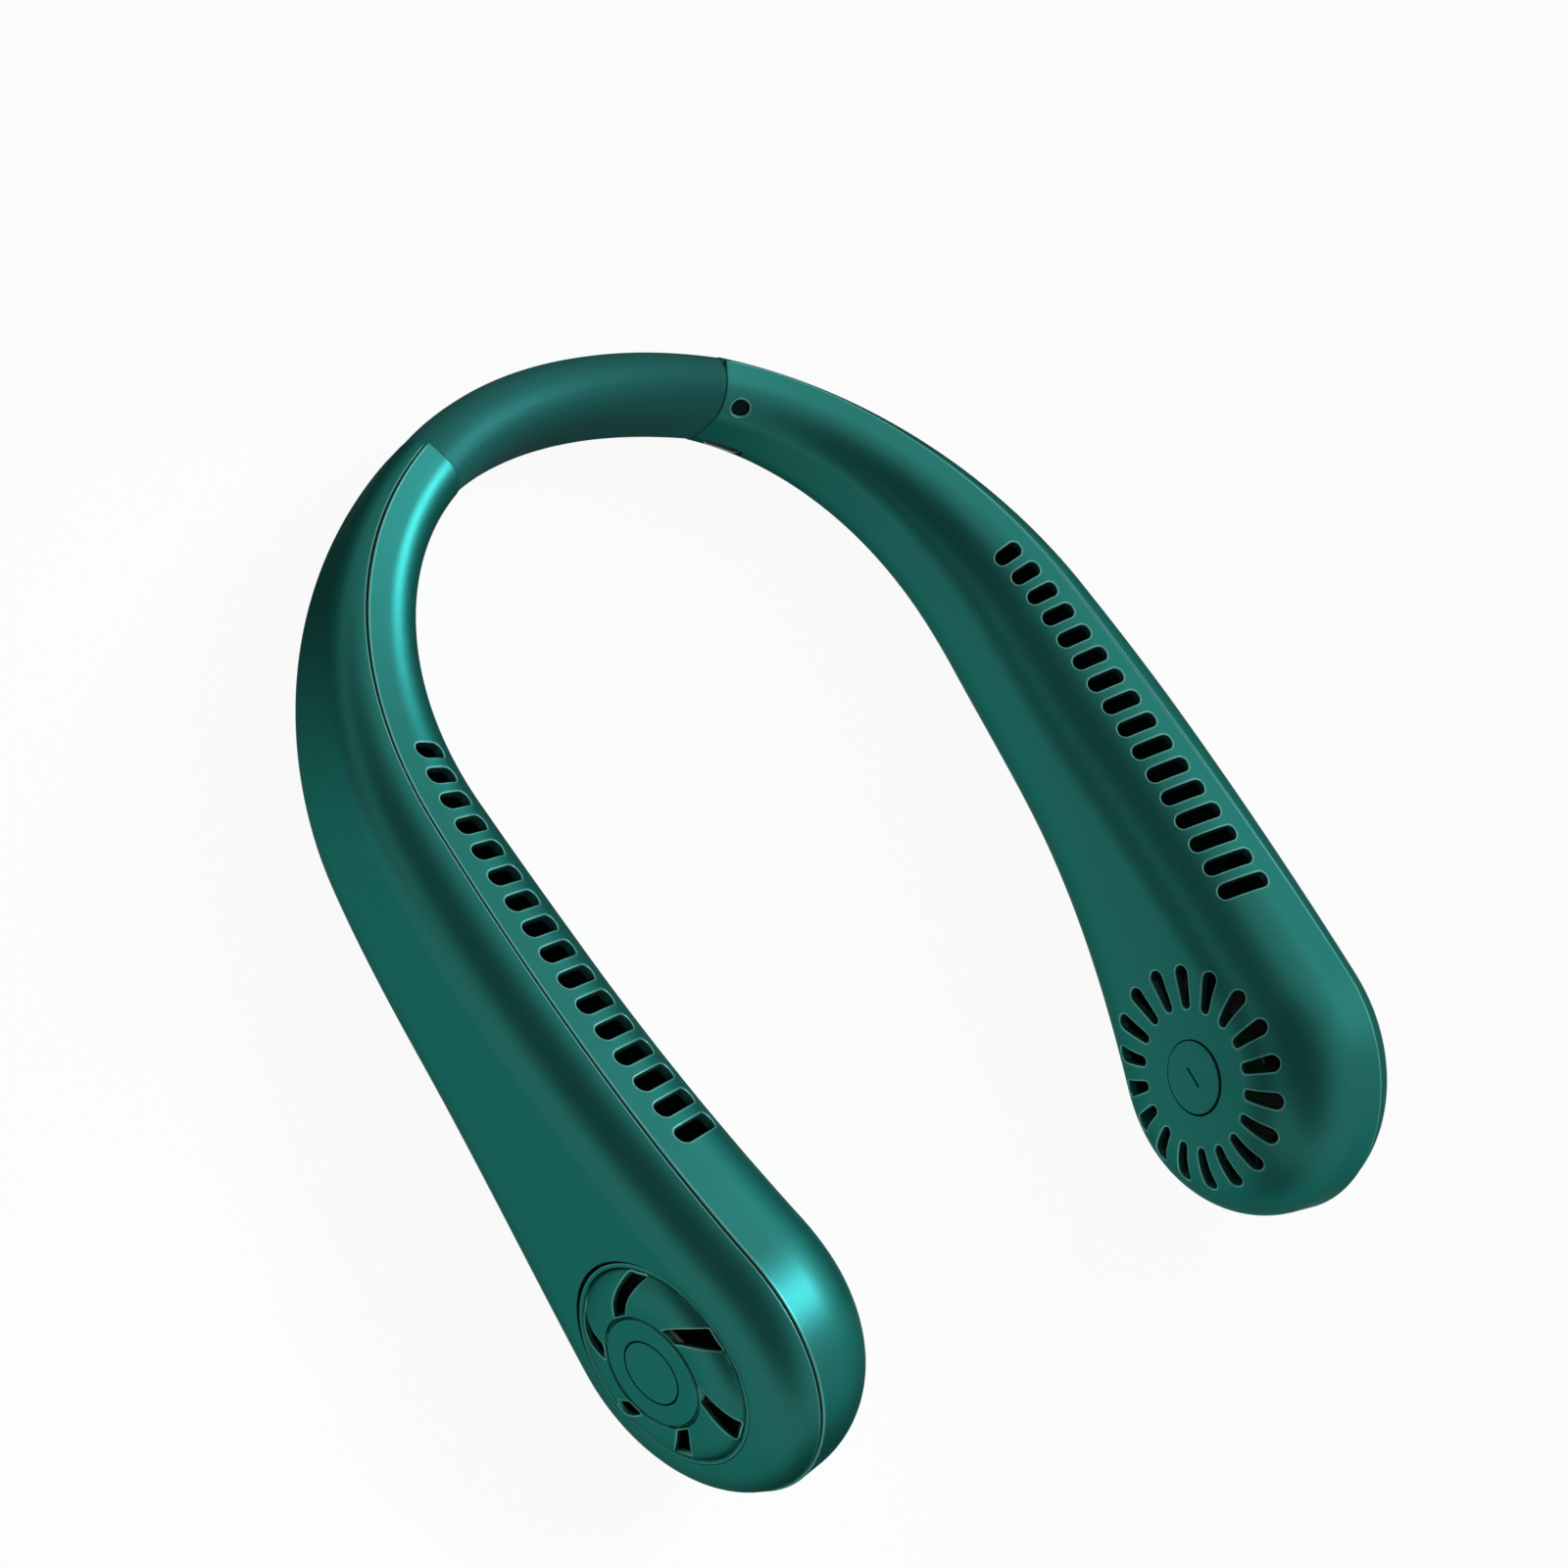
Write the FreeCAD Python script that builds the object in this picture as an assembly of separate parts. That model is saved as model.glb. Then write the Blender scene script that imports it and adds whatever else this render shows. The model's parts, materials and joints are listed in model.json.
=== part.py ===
import FreeCAD, Part
import math
import os

# A horseshoe neck fan: two hollow arms joined by a soft neck sleeve, with a blower in each round head.
# Frame: X across the neck, +Y to the back of the neck, +Z up; the fan lies on the plane z = 0.
# Everything is drawn for the right arm (+X); the left arm is its mirror image.

V = FreeCAD.Vector
UP = V(0, 0, 1)
os.makedirs("parts", exist_ok=True)

# Plan of the centre line: a bow behind the neck, then a gently curved arm
neck_radius = 84.0
neck_turn = 88.4
arm_radius = 555.0
arm_length = 107.7
sleeve_half_length = 39.5

# Depth of the arm, measured sideways from the centre line
neck_half_depth = 7.4
head_outer_depth = 13.55
head_inner_depth = 17.2
depth_start = 40.0
depth_end = 165.0
neck_rounding = 7.0
head_rounding = 11.3
head_inner_rounding = 16.8

# Side outline, by distance from the fan axis towards the neck
head_radius = 32.25
top_tangent_angle = 15.0
bottom_tangent_angle = 10.0
neck_end_reach = 184.0
neck_top_height = 23.6
neck_bottom_height = 4.8
waist_reach = 62.0
waist_height = 6.6
belly_reach = 118.0
belly_height = 3.4

# Shells
wall = 1.8
end_wall = 2.0
seam_gap = 0.2
seam_neck_offset = 4.0
seam_head_offset = 5.3
seam_dip = 1.3
assembly_clearance = 0.1
section_count = 20

# Air outlets in the top band
outlet_count = 16
outlet_first = 114.8
outlet_last = 204.0
outlet_width = 3.5
outlet_corner = 1.3
outlet_outer_first = -0.8
outlet_outer_last = 0.2
outlet_length_first = 6.6
outlet_length_last = 11.2
outlet_depth = 9.0

# Ring of radial intakes round the head's inner face
intake_count = 18
intake_phase = 2.0
intake_inner_radius = 15.0
intake_outer_radius = 24.0
intake_inner_width = 2.0
intake_outer_width = 3.2
intake_depth = 7.5

# Outer intake grille: a rim, a low dome with spiral gaps and a proud hub
rim_radius = 21.2
rim_width = 0.9
rim_gap = 0.2
flange_width = 1.3
flange_thickness = 1.2
dome_sink = 1.2
hub_rise = 3.0
hub_flat_radius = 14.2
hub_thickness = 1.5
hub_line_radius = 11.4
hub_line_width = 0.35
hub_line_depth = 0.45
cap_radius = 6.6
cap_thickness = 1.0
cap_gap = 0.15
gap_count = 6
gap_phase = 9.2
gap_sweep = 22.3
gap_inner_radius = 12.4
gap_outer_radius = 19.7
gap_inner_width = 3.45
gap_outer_width = 4.85

# Motor, seated behind the hub
shaft_radius = 1.0
shaft_clearance = 0.03
bush_radius = 2.0
bush_length = 7.5
tube_wall = 1.0
base_radius = 10.8
base_thickness = 1.35
base_gap = 0.05
can_radius = 10.0
can_wall = 0.8
can_height = 9.0
can_base_gap = 1.35
can_floor = 1.0
magnet_thickness = 1.0
magnet_length = 6.5
air_gap = 0.35
stator_length = 5.5
stator_poles = 6
pole_width = 2.2
shoe_thickness = 1.1
bond_gap = 0.05

# Impeller: a cup over the motor can, a plate and a cage of blades
impeller_radius = 25.0
cup_wall = 1.0
cup_height = 6.5
plate_thickness = 1.2
blade_count = 22
blade_chord = 7.4
blade_thickness = 1.0
blade_stagger = 38.0
blade_above_plate = 5.6
blade_below_plate = 11.5
cage_ring_width = 2.6
cage_ring_thickness = 1.0

# Button, its switch and the round board behind the right head's inner face
button_radius = 7.95
button_gap = 0.15
button_proud = 0.3
button_flange_width = 1.3
button_flange_thickness = 1.1
button_seat_gap = 0.2
button_travel = 0.5
button_bar_length = 5.0
button_bar_width = 0.7
button_bar_depth = 0.2
button_bar_turn = 151.0
plunger_radius = 1.7
plunger_length = 1.65
plunger_gap = 0.05
plunger_side_gap = 0.15
plunger_room = 0.5
switch_width = 6.0
switch_height = 3.1
switch_gap = 0.8
board_radius = 13.0
board_thickness = 1.2
post_radius = 1.6
post_circle = 11.3
post_count = 3
screw_radius = 0.8
screw_head_radius = 1.4
screw_head_height = 0.9
screw_fit = 0.05
board_screw_grip = 3.0
motor_screw_circle = 8.5
motor_screw_grip = 0.9
motor_screw_count = 3

# Cell and its foam pad in each arm
cell_station = 95.0
cell_length = 38.0
cell_depth = 7.0
cell_height = 14.0
cell_shift = -1.2
cell_rounding = 1.5
pad_length = 24.0
pad_height = 9.0

# Charging port, its board and the indicator lens near the right arm's neck end
port_station = 48.0
port_height = 9.5
port_width = 8.9
port_thickness = 3.2
port_length = 7.3
port_inset = 1.2
port_metal = 0.3
port_gap = 0.2
tongue_thickness = 0.7
charge_board_reach = 10.0
charge_board_depth = 9.6
charge_board_thickness = 1.0
rest_length = 1.4
lens_station = 44.0
lens_tilt = 40.0
lens_radius = 1.85
lens_length = 1.2
lens_recess = 0.7

# Neck sleeve, the plugs it is pulled over, the spring strip and the cable
sleeve_step = 0.15
sleeve_height = 22.4
sleeve_wall = 2.0
sleeve_sections = 9
sleeve_end_gap = 0.1
plug_reach = 8.0
plug_height = 15.2
plug_clearance = 0.5
plug_flange = 0.4
plug_flange_length = 1.5
spine_thickness = 0.8
spine_height = 9.0
spine_reach = 5.0
spine_clearance = 0.08
cable_radius = 1.2
cable_shift = -2.6
cable_reach = 3.0
cable_clearance = 0.1

bow_length = neck_radius * math.radians(neck_turn)
head_station = bow_length + arm_length
head_height = head_radius


def station(s):
    """Centre-line point, outward normal and forward direction at the distance s from the neck's middle."""
    turn = min(s, bow_length) / neck_radius
    point = V(neck_radius * math.sin(turn), neck_radius * (math.cos(turn) - 1), 0)
    if s > bow_length:
        end = turn + (s - bow_length) / arm_radius
        point += V(math.sin(end) - math.sin(turn), math.cos(end) - math.cos(turn), 0) * arm_radius
        turn = end
    normal = V(math.sin(turn), math.cos(turn), 0)
    forward = V(math.cos(turn), -math.sin(turn), 0)
    return point, normal, forward


head_point, head_normal, head_forward = station(head_station)
head_back = head_forward * -1
HEAD = FreeCAD.Placement(head_point + UP * head_height, FreeCAD.Rotation(head_back, UP, head_normal))


def ease(value, start, end):
    """Smooth step from 0 at start to 1 at end."""
    x = min(max((value - start) / (end - start), 0.0), 1.0)
    return x * x * (3 - 2 * x)


def grown(neck_value, head_value, s):
    """A size that grows from its neck value to its head value along the arm."""
    return neck_value + (head_value - neck_value) * ease(s, depth_start, depth_end)


def reach(s):
    """Distance of a station from the fan axis, along the head's own direction."""
    return (station(s)[0] - head_point).dot(head_back)


def top_height(u):
    """Top edge: the head's circle, then one shallow arc tangent to it that ends at the neck."""
    angle = math.radians(top_tangent_angle)
    start_u = head_radius * math.sin(angle)
    start_z = head_height + head_radius * math.cos(angle)
    if u <= start_u:
        return head_height + math.sqrt(head_radius ** 2 - u ** 2)
    du = neck_end_reach - start_u
    dz = neck_top_height - start_z
    radius = (du ** 2 + dz ** 2) / (2 * (du * math.sin(angle) + dz * math.cos(angle)))
    centre_u = start_u + radius * math.sin(angle)
    centre_z = start_z + radius * math.cos(angle)
    return centre_z - math.copysign(math.sqrt(radius ** 2 - (u - centre_u) ** 2), radius)


def bottom_height(u):
    """Bottom edge: the head's circle, a waist, a belly and the neck end, eased from one to the next."""
    angle = math.radians(bottom_tangent_angle)
    start_u = head_radius * math.sin(angle)
    start_z = head_height - head_radius * math.cos(angle)
    if u <= start_u:
        return head_height - math.sqrt(head_radius ** 2 - u ** 2)
    if u <= waist_reach:
        span = waist_reach - start_u
        x = (u - start_u) / span
        slope = math.tan(angle) * span * x * (1 - x) ** 2
        return start_z + (waist_height - start_z) * x * x * (3 - 2 * x) + slope
    if u <= belly_reach:
        return waist_height + (belly_height - waist_height) * ease(u, waist_reach, belly_reach)
    return belly_height + (neck_bottom_height - belly_height) * ease(u, belly_reach, neck_end_reach)


def rounded_wire(place, low, high, radius, low_radius=None):
    """Rounded rectangle between two corners (sideways, height); place maps the pair to a point.

    The low side has its own rounding where one is given."""
    far = radius
    near = low_radius or radius
    flat = [(low[0] + near, low[1]), (high[0] - far, low[1]), (high[0], low[1] + far),
            (high[0], high[1] - far), (high[0] - far, high[1]), (low[0] + near, high[1]),
            (low[0], high[1] - near), (low[0], low[1] + near)]
    cut = 1 - math.sqrt(0.5)
    mids = [(high[0] - far * cut, low[1] + far * cut), (high[0] - far * cut, high[1] - far * cut),
            (low[0] + near * cut, high[1] - near * cut), (low[0] + near * cut, low[1] + near * cut)]
    edges = []
    for k in range(4):
        start = place(*flat[2 * k])
        bend = place(*flat[2 * k + 1])
        after = place(*flat[(2 * k + 2) % 8])
        edges.append(Part.LineSegment(start, bend).toShape())
        edges.append(Part.Arc(bend, place(*mids[k]), after).toShape())
    return Part.Wire(edges)


def cross_place(s):
    """Maps (sideways offset, height) to a point of the cross section at station s, on either arm."""
    point, normal, forward = station(abs(s))
    side = V(math.copysign(1, s), 1, 1)

    def place(offset, height):
        at = point + normal * offset + UP * height
        return V(at.x * side.x, at.y, at.z)
    return place


def arm_wire(s, inset):
    """Cross section of the arm at station s, drawn in by inset."""
    u = reach(s)
    outer = grown(neck_half_depth, head_outer_depth, s) - inset
    inner = grown(neck_half_depth, head_inner_depth, s) - inset
    low = (-inner, bottom_height(u) + inset)
    high = (outer, top_height(u) - inset)
    outer_bend = grown(neck_rounding, head_rounding, s) - inset
    inner_bend = grown(neck_rounding, head_inner_rounding, s) - inset
    return rounded_wire(cross_place(s), low, high, outer_bend, inner_bend)


def arm_solid(inset, start):
    """Arm and head: sections lofted from the neck end to the fan axis, then a half turn round the axis."""
    wires = []
    for k in range(section_count):
        wires.append(arm_wire(start + (head_station - start) * k / (section_count - 1), inset))
    arm = Part.makeLoft(wires, True, False)
    radius = head_radius - inset
    far = head_rounding - inset
    near = head_inner_rounding - inset
    outer = head_outer_depth - inset
    inner = head_inner_depth - inset
    cut = 1 - math.sqrt(0.5)
    edges = [Part.LineSegment(V(0, 0, -inner), V(0, radius - near, -inner)).toShape(),
             Part.Arc(V(0, radius - near, -inner), V(0, radius - near * cut, near * cut - inner),
                      V(0, radius, near - inner)).toShape(),
             Part.LineSegment(V(0, radius, near - inner), V(0, radius, outer - far)).toShape(),
             Part.Arc(V(0, radius, outer - far), V(0, radius - far * cut, outer - far * cut),
                      V(0, radius - far, outer)).toShape(),
             Part.LineSegment(V(0, radius - far, outer), V(0, 0, outer)).toShape(),
             Part.LineSegment(V(0, 0, outer), V(0, 0, -inner)).toShape()]
    half = Part.Face(Part.Wire(edges)).revolve(V(0, 0, 0), V(0, 0, 1), 180)
    return arm.fuse(in_head(half))


def in_head(shape):
    """Places a shape drawn round the fan axis, with its height outwards, in the right head."""
    placed = shape.copy()
    placed.Placement = HEAD.multiply(placed.Placement)
    return placed


def cylinder(radius, bottom, top, x=0.0, y=0.0):
    return Part.makeCylinder(radius, top - bottom, V(x, y, bottom))


def ring(inner, outer, bottom, top):
    return cylinder(outer, bottom, top).cut(cylinder(inner, bottom, top))


def circle_points(count, radius, phase=0.0):
    """Evenly spaced points on a circle round the fan axis."""
    turns = [math.radians(phase + 360.0 * k / count) for k in range(count)]
    return [(radius * math.cos(turn), radius * math.sin(turn)) for turn in turns]


def neck_middle(s):
    """Height of the neck's middle: lowest behind the neck, where it lies on the plane z = 0."""
    at_end = 0.5 * (end_top + end_bottom)
    return 0.5 * sleeve_height + (at_end - 0.5 * sleeve_height) * (s / sleeve_half_length) ** 2


def neck_loft(start, end, half_depth, height, radius, taper=0.0):
    """Rounded section along the neck, whose height falls by the taper towards the sleeve's ends."""
    wires = []
    for k in range(sleeve_sections):
        s = start + (end - start) * k / (sleeve_sections - 1)
        half_height = 0.5 * (height - taper * (s / sleeve_half_length) ** 2)
        low = (-half_depth, neck_middle(s) - half_height)
        high = (half_depth, neck_middle(s) + half_height)
        wires.append(rounded_wire(cross_place(s), low, high, radius))
    return Part.makeLoft(wires, True, False)


def cable_solid(end, radius):
    """Round cable along the neck, beside the spring strip, from -end to end."""
    wires = []
    for k in range(sleeve_sections):
        s = -end + 2 * end * k / (sleeve_sections - 1)
        point, normal, forward = station(abs(s))
        place = cross_place(s)
        mirrored = V(math.copysign(forward.x, forward.x * s if s else 1), forward.y, 0)
        wires.append(Part.Wire(Part.makeCircle(radius, place(cable_shift, neck_middle(s)), mirrored)))
    return Part.makeLoft(wires, True, False)


def seam_offset(s):
    """Sideways offset of the seam from the centre line: it dips towards it about half way along the arm."""
    share = min(max((s - sleeve_half_length) / (head_station - sleeve_half_length), 0.0), 1.0)
    straight = seam_neck_offset + (seam_head_offset - seam_neck_offset) * share
    return straight - seam_dip * math.sin(math.pi * share) ** 2


def seam_region(gap):
    """Everything outside the seam, which runs along the top band and round the head."""
    far = 3 * head_radius
    stations = [sleeve_half_length - end_wall + 22.0 * k for k in range(12)]
    curve = []
    for s in stations:
        point, normal, forward = station(s)
        curve.append(point + normal * (seam_offset(s) + gap))
    spline = Part.BSplineCurve()
    spline.interpolate(curve)
    first = curve[0] + station(stations[0])[1] * far
    last = curve[-1] + station(stations[-1])[1] * far
    corner = V(first.x + last.x, first.y, 0)
    edges = [spline.toShape(), Part.LineSegment(curve[-1], last).toShape(),
             Part.LineSegment(last, corner).toShape(), Part.LineSegment(corner, first).toShape(),
             Part.LineSegment(first, curve[0]).toShape()]
    face = Part.Face(Part.Wire(edges))
    face.translate(UP * -head_radius)
    return face.extrude(UP * 4 * head_radius)


def box_at(s, along, depth, bottom, top):
    """Block at station s: along the arm, sideways between two offsets, and between two heights."""
    point, normal, forward = station(s)
    corners = [point + forward * a + normal * b + UP * bottom
               for a, b in ((along[0], depth[0]), (along[1], depth[0]),
                            (along[1], depth[1]), (along[0], depth[1]))]
    return Part.Face(Part.makePolygon(corners + corners[:1])).extrude(UP * (top - bottom))


def outlet_cutters():
    """Upright rounded-rectangle cutters across the top band."""
    cutters = []
    for k in range(outlet_count):
        share = k / (outlet_count - 1)
        s = outlet_first + (outlet_last - outlet_first) * share
        point, normal, forward = station(s)
        outer = outlet_outer_first + (outlet_outer_last - outlet_outer_first) * share
        inner = outer - outlet_length_first - (outlet_length_last - outlet_length_first) * share
        bottom = top_height(reach(s)) - outlet_depth

        def place(offset, along):
            return point + normal * offset + forward * along + UP * bottom
        half = 0.5 * outlet_width
        outline = rounded_wire(place, (inner, -half), (outer, half), outlet_corner)
        cutters.append(Part.Face(outline).extrude(UP * 2 * outlet_depth))
    return cutters


def intake_cutters():
    """Radial slots with round ends, wider outwards, through the head's inner face."""
    r0 = 0.5 * intake_inner_width
    r1 = 0.5 * intake_outer_width
    a = intake_inner_radius + r0
    b = intake_outer_radius - r1
    lean = math.asin((r1 - r0) / (b - a))
    c = math.cos(lean)
    d = -math.sin(lean)
    p = [V(a + d * r0, c * r0, 0), V(b + d * r1, c * r1, 0),
         V(b + d * r1, -c * r1, 0), V(a + d * r0, -c * r0, 0)]
    edges = [Part.LineSegment(p[0], p[1]).toShape(), Part.Arc(p[1], V(b + r1, 0, 0), p[2]).toShape(),
             Part.LineSegment(p[2], p[3]).toShape(), Part.Arc(p[3], V(a - r0, 0, 0), p[0]).toShape()]
    slot = Part.Face(Part.Wire(edges)).extrude(V(0, 0, intake_depth))
    slot.translate(V(0, 0, -head_inner_depth))
    cutters = []
    for k in range(intake_count):
        turned = slot.copy()
        turned.rotate(V(0, 0, 0), V(0, 0, 1), intake_phase + 360.0 * k / intake_count)
        cutters.append(in_head(turned))
    return cutters


def spiral_gaps():
    """Grille gaps that sweep round as they run outwards, through the dome."""
    cutters = []
    steps = 5
    for k in range(gap_count):
        sides = []
        for sign in (-1, 1):
            points = []
            for step in range(steps):
                share = step / (steps - 1)
                radius = gap_inner_radius + (gap_outer_radius - gap_inner_radius) * share
                width = gap_inner_width + (gap_outer_width - gap_inner_width) * share
                turn = math.radians(gap_phase + 360.0 * k / gap_count + gap_sweep * share)
                turn += sign * 0.5 * width / radius
                points.append(V(radius * math.cos(turn), radius * math.sin(turn), 0))
            sides.append(points)
        left = Part.BSplineCurve()
        left.interpolate(sides[0])
        right = Part.BSplineCurve()
        right.interpolate(sides[1][::-1])
        edges = [left.toShape(), Part.LineSegment(sides[0][-1], sides[1][-1]).toShape(), right.toShape(),
                 Part.LineSegment(sides[1][0], sides[0][0]).toShape()]
        cutters.append(Part.Face(Part.Wire(edges)).extrude(V(0, 0, 2 * head_outer_depth)))
    return cutters


# Heights along the fan axis, outwards from the arm's centre line
hub_top = head_outer_depth + hub_rise
hub_under = hub_top - hub_thickness
base_top = hub_under - base_gap
base_bottom = base_top - base_thickness
can_top = base_bottom - can_base_gap
can_bottom = can_top - can_height
cup_top = can_bottom + cup_height
plate_top = can_bottom - bond_gap
plate_bottom = plate_top - plate_thickness
inner_face = -head_inner_depth
inner_wall = inner_face + wall
flange_front = inner_wall + button_seat_gap
button_back = flange_front + button_flange_thickness
plunger_front = button_back + plunger_gap
plunger_back = plunger_front + plunger_length
switch_front = button_back + switch_gap
board_front = switch_front + switch_height
board_back = board_front + board_thickness

# Sleeve, flush with the arm's end but for a small step
end_top = top_height(reach(sleeve_half_length))
end_bottom = bottom_height(reach(sleeve_half_length))
sleeve_half_depth = neck_half_depth - sleeve_step
sleeve_rounding = neck_rounding - sleeve_step
sleeve_taper = sleeve_height - (end_top - end_bottom - 2 * sleeve_step)

# Inner solids that several pieces share
cavity_start = sleeve_half_length + end_wall
arm_outside = arm_solid(0.0, sleeve_half_length)
arm_cavity = arm_solid(wall, cavity_start)
seat_space = arm_solid(wall + assembly_clearance, cavity_start)
mid_wall = arm_solid(0.5 * wall, cavity_start)
plug_half_depth = sleeve_half_depth - sleeve_wall - plug_clearance
plug_rounding = sleeve_rounding - sleeve_wall - plug_clearance
plug_start = sleeve_half_length - plug_reach
plug_end = cavity_start + plug_flange_length


def neck_spine(end, clearance):
    half = 0.5 * spine_thickness + clearance
    return neck_loft(-end, end, half, spine_height + 2 * clearance, 0.5 * half)


def neck_plug():
    """Plug that carries the sleeve, the strip and the cable, locked behind the arm's end wall."""
    body = neck_loft(plug_start, plug_end, plug_half_depth, plug_height, plug_rounding)
    lock = neck_loft(cavity_start + assembly_clearance, plug_end, plug_half_depth + plug_flange,
                     plug_height + 2 * plug_flange, plug_rounding)
    body = body.fuse(lock)
    body = body.cut(neck_spine(plug_start + spine_reach, spine_clearance))
    return body.cut(cable_solid(plug_end + cable_reach, cable_radius + cable_clearance))


def plug_hole():
    c = assembly_clearance
    return neck_loft(plug_start, plug_end, plug_half_depth + c, plug_height + 2 * c, plug_rounding + c)


def port_prism(grow, start, end):
    """Rounded port outline at the port's station, between two sideways offsets."""
    point, normal, forward = station(port_station)

    def place(along, height):
        return point + normal * start + forward * along + UP * height
    half = 0.5 * port_width + grow
    rise = 0.5 * port_thickness + grow
    outline = rounded_wire(place, (-half, port_height - rise), (half, port_height + rise), 0.9 * rise)
    return Part.Face(outline).extrude(normal * (end - start))


port_front = port_inset - grown(neck_half_depth, head_inner_depth, port_station)
port_back = port_front + port_length
charge_board_bottom = port_height + 0.5 * port_thickness + assembly_clearance


def charge_port():
    """Metal shell of the port with its tongue."""
    shell = port_prism(0.0, port_front, port_back)
    shell = shell.cut(port_prism(-port_metal, port_front, port_back - port_metal))
    half = 0.5 * tongue_thickness
    tongue = box_at(port_station, (-0.35 * port_width, 0.35 * port_width),
                    (port_front + 1.0, port_back - port_metal), port_height - half, port_height + half)
    return shell.fuse(tongue)


def charge_board():
    return box_at(port_station, (-0.5 * port_width, charge_board_reach),
                  (-0.5 * charge_board_depth, 0.5 * charge_board_depth),
                  charge_board_bottom, charge_board_bottom + charge_board_thickness)


def board_rest():
    """Rib of the inner shell under the charging board's far end; its near end sits on the port."""
    block = box_at(port_station, (charge_board_reach - rest_length, charge_board_reach),
                   (-0.5 * charge_board_depth, 0.0), 0.0, charge_board_bottom)
    return block.common(mid_wall)


def lens_axis():
    """Start point and direction of the indicator's bore through the upper inner rounding."""
    point, normal, forward = station(lens_station)
    rounding = grown(neck_rounding, head_inner_rounding, lens_station)
    inner = grown(neck_half_depth, head_inner_depth, lens_station)
    centre = point - normal * (inner - rounding) + UP * (top_height(reach(lens_station)) - rounding)
    tilt = math.radians(lens_tilt)
    return centre, UP * math.sin(tilt) - normal * math.cos(tilt), rounding


def indicator_lens():
    centre, direction, rounding = lens_axis()
    start = rounding - lens_recess - lens_length
    return Part.makeCylinder(lens_radius, lens_length, centre + direction * start, direction)


def inner_shell(with_button):
    shell = arm_outside.cut(arm_cavity).cut(seam_region(0.0)).cut(plug_hole())
    shell = shell.cut(outlet_cutters() + intake_cutters())
    if with_button:
        posts = []
        for x, y in circle_points(post_count, post_circle):
            post = cylinder(post_radius, inner_wall - 0.5 * wall, board_front, x, y)
            hole = cylinder(screw_radius, board_front - board_screw_grip, board_front, x, y)
            posts.append(in_head(post.cut(hole)))
        shell = shell.fuse(posts + [board_rest()])
        centre, direction, rounding = lens_axis()
        bore = lens_radius + assembly_clearance
        start = centre + direction * (rounding - 2 * lens_length)
        lens_bore = Part.makeCylinder(bore, rounding, start, direction)
        guide = button_radius + button_gap
        button_hole = in_head(cylinder(guide, inner_face - wall, inner_wall + 0.1 * wall))
        port_hole = port_prism(port_gap, port_front - wall, port_front + 3 * wall)
        shell = shell.cut([lens_bore, button_hole, port_hole])
    return shell


def outer_cover():
    shell = arm_outside.cut(arm_cavity).common(seam_region(seam_gap)).cut(plug_hole())
    return shell.cut(in_head(cylinder(rim_radius + rim_gap, 0.0, 2 * head_outer_depth)))


def intake_grille():
    """Turned rim, dome and hub with spiral gaps, a line round the hub and a recess for the cap."""
    rim_inner = rim_radius - rim_width
    arm_sag = (rim_radius + flange_width) ** 2 / (2 * arm_radius)
    seat = head_outer_depth - wall - assembly_clearance - arm_sag
    flange_bottom = seat - flange_thickness
    edge_top = head_outer_depth - dome_sink
    bend_r = 0.55 * rim_inner + 0.45 * hub_flat_radius
    bend_top = edge_top + 0.62 * (hub_top - edge_top)
    bend_under = flange_bottom + 0.62 * (hub_under - flange_bottom)
    under_r = hub_flat_radius - 0.4 * hub_thickness
    points = {
        "axis_top": V(0, 0, hub_top), "hub_edge": V(hub_flat_radius, 0, hub_top),
        "dome_bend": V(bend_r, 0, bend_top), "dome_foot": V(rim_inner, 0, edge_top),
        "rim_in": V(rim_inner, 0, head_outer_depth), "rim_out": V(rim_radius, 0, head_outer_depth),
        "step": V(rim_radius, 0, seat), "flange_out": V(rim_radius + flange_width, 0, seat),
        "flange_low": V(rim_radius + flange_width, 0, flange_bottom),
        "under_foot": V(rim_inner, 0, flange_bottom),
        "under_bend": V(bend_r - 0.5 * hub_thickness, 0, bend_under),
        "under_hub": V(under_r, 0, hub_under), "axis_low": V(0, 0, hub_under)}

    def line(a, b):
        return Part.LineSegment(points[a], points[b]).toShape()

    def arc(a, b, c):
        return Part.Arc(points[a], points[b], points[c]).toShape()
    edges = [line("axis_top", "hub_edge"), arc("hub_edge", "dome_bend", "dome_foot"),
             line("dome_foot", "rim_in"), line("rim_in", "rim_out"), line("rim_out", "step"),
             line("step", "flange_out"),
             line("flange_out", "flange_low"), line("flange_low", "under_foot"),
             arc("under_foot", "under_bend", "under_hub"), line("under_hub", "axis_low"),
             line("axis_low", "axis_top")]
    solid = Part.Face(Part.Wire(edges)).revolve(V(0, 0, 0), V(0, 0, 1), 360)
    line_top = hub_top + hub_line_depth
    cuts = spiral_gaps()
    cuts.append(ring(hub_line_radius, hub_line_radius + hub_line_width, hub_top - hub_line_depth, line_top))
    cuts.append(cylinder(cap_radius + cap_gap, hub_top - cap_thickness, line_top))
    for x, y in circle_points(motor_screw_count, motor_screw_circle):
        hole_top = hub_under + motor_screw_grip + screw_fit
        cuts.append(cylinder(screw_radius, hub_under - base_gap, hole_top, x, y))
    return in_head(solid.cut(cuts))


def hub_cap():
    return in_head(cylinder(cap_radius, hub_top - cap_thickness, hub_top))


def motor_base():
    tube = cylinder(bush_radius + tube_wall, can_bottom + 2 * can_floor, base_bottom)
    base = cylinder(base_radius, base_bottom, base_top).fuse(tube)
    cuts = [cylinder(bush_radius, can_bottom, base_bottom)]
    for x, y in circle_points(motor_screw_count, motor_screw_circle):
        cuts.append(cylinder(screw_radius + screw_fit, base_bottom, base_top, x, y))
    return in_head(base.cut(cuts))


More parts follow.
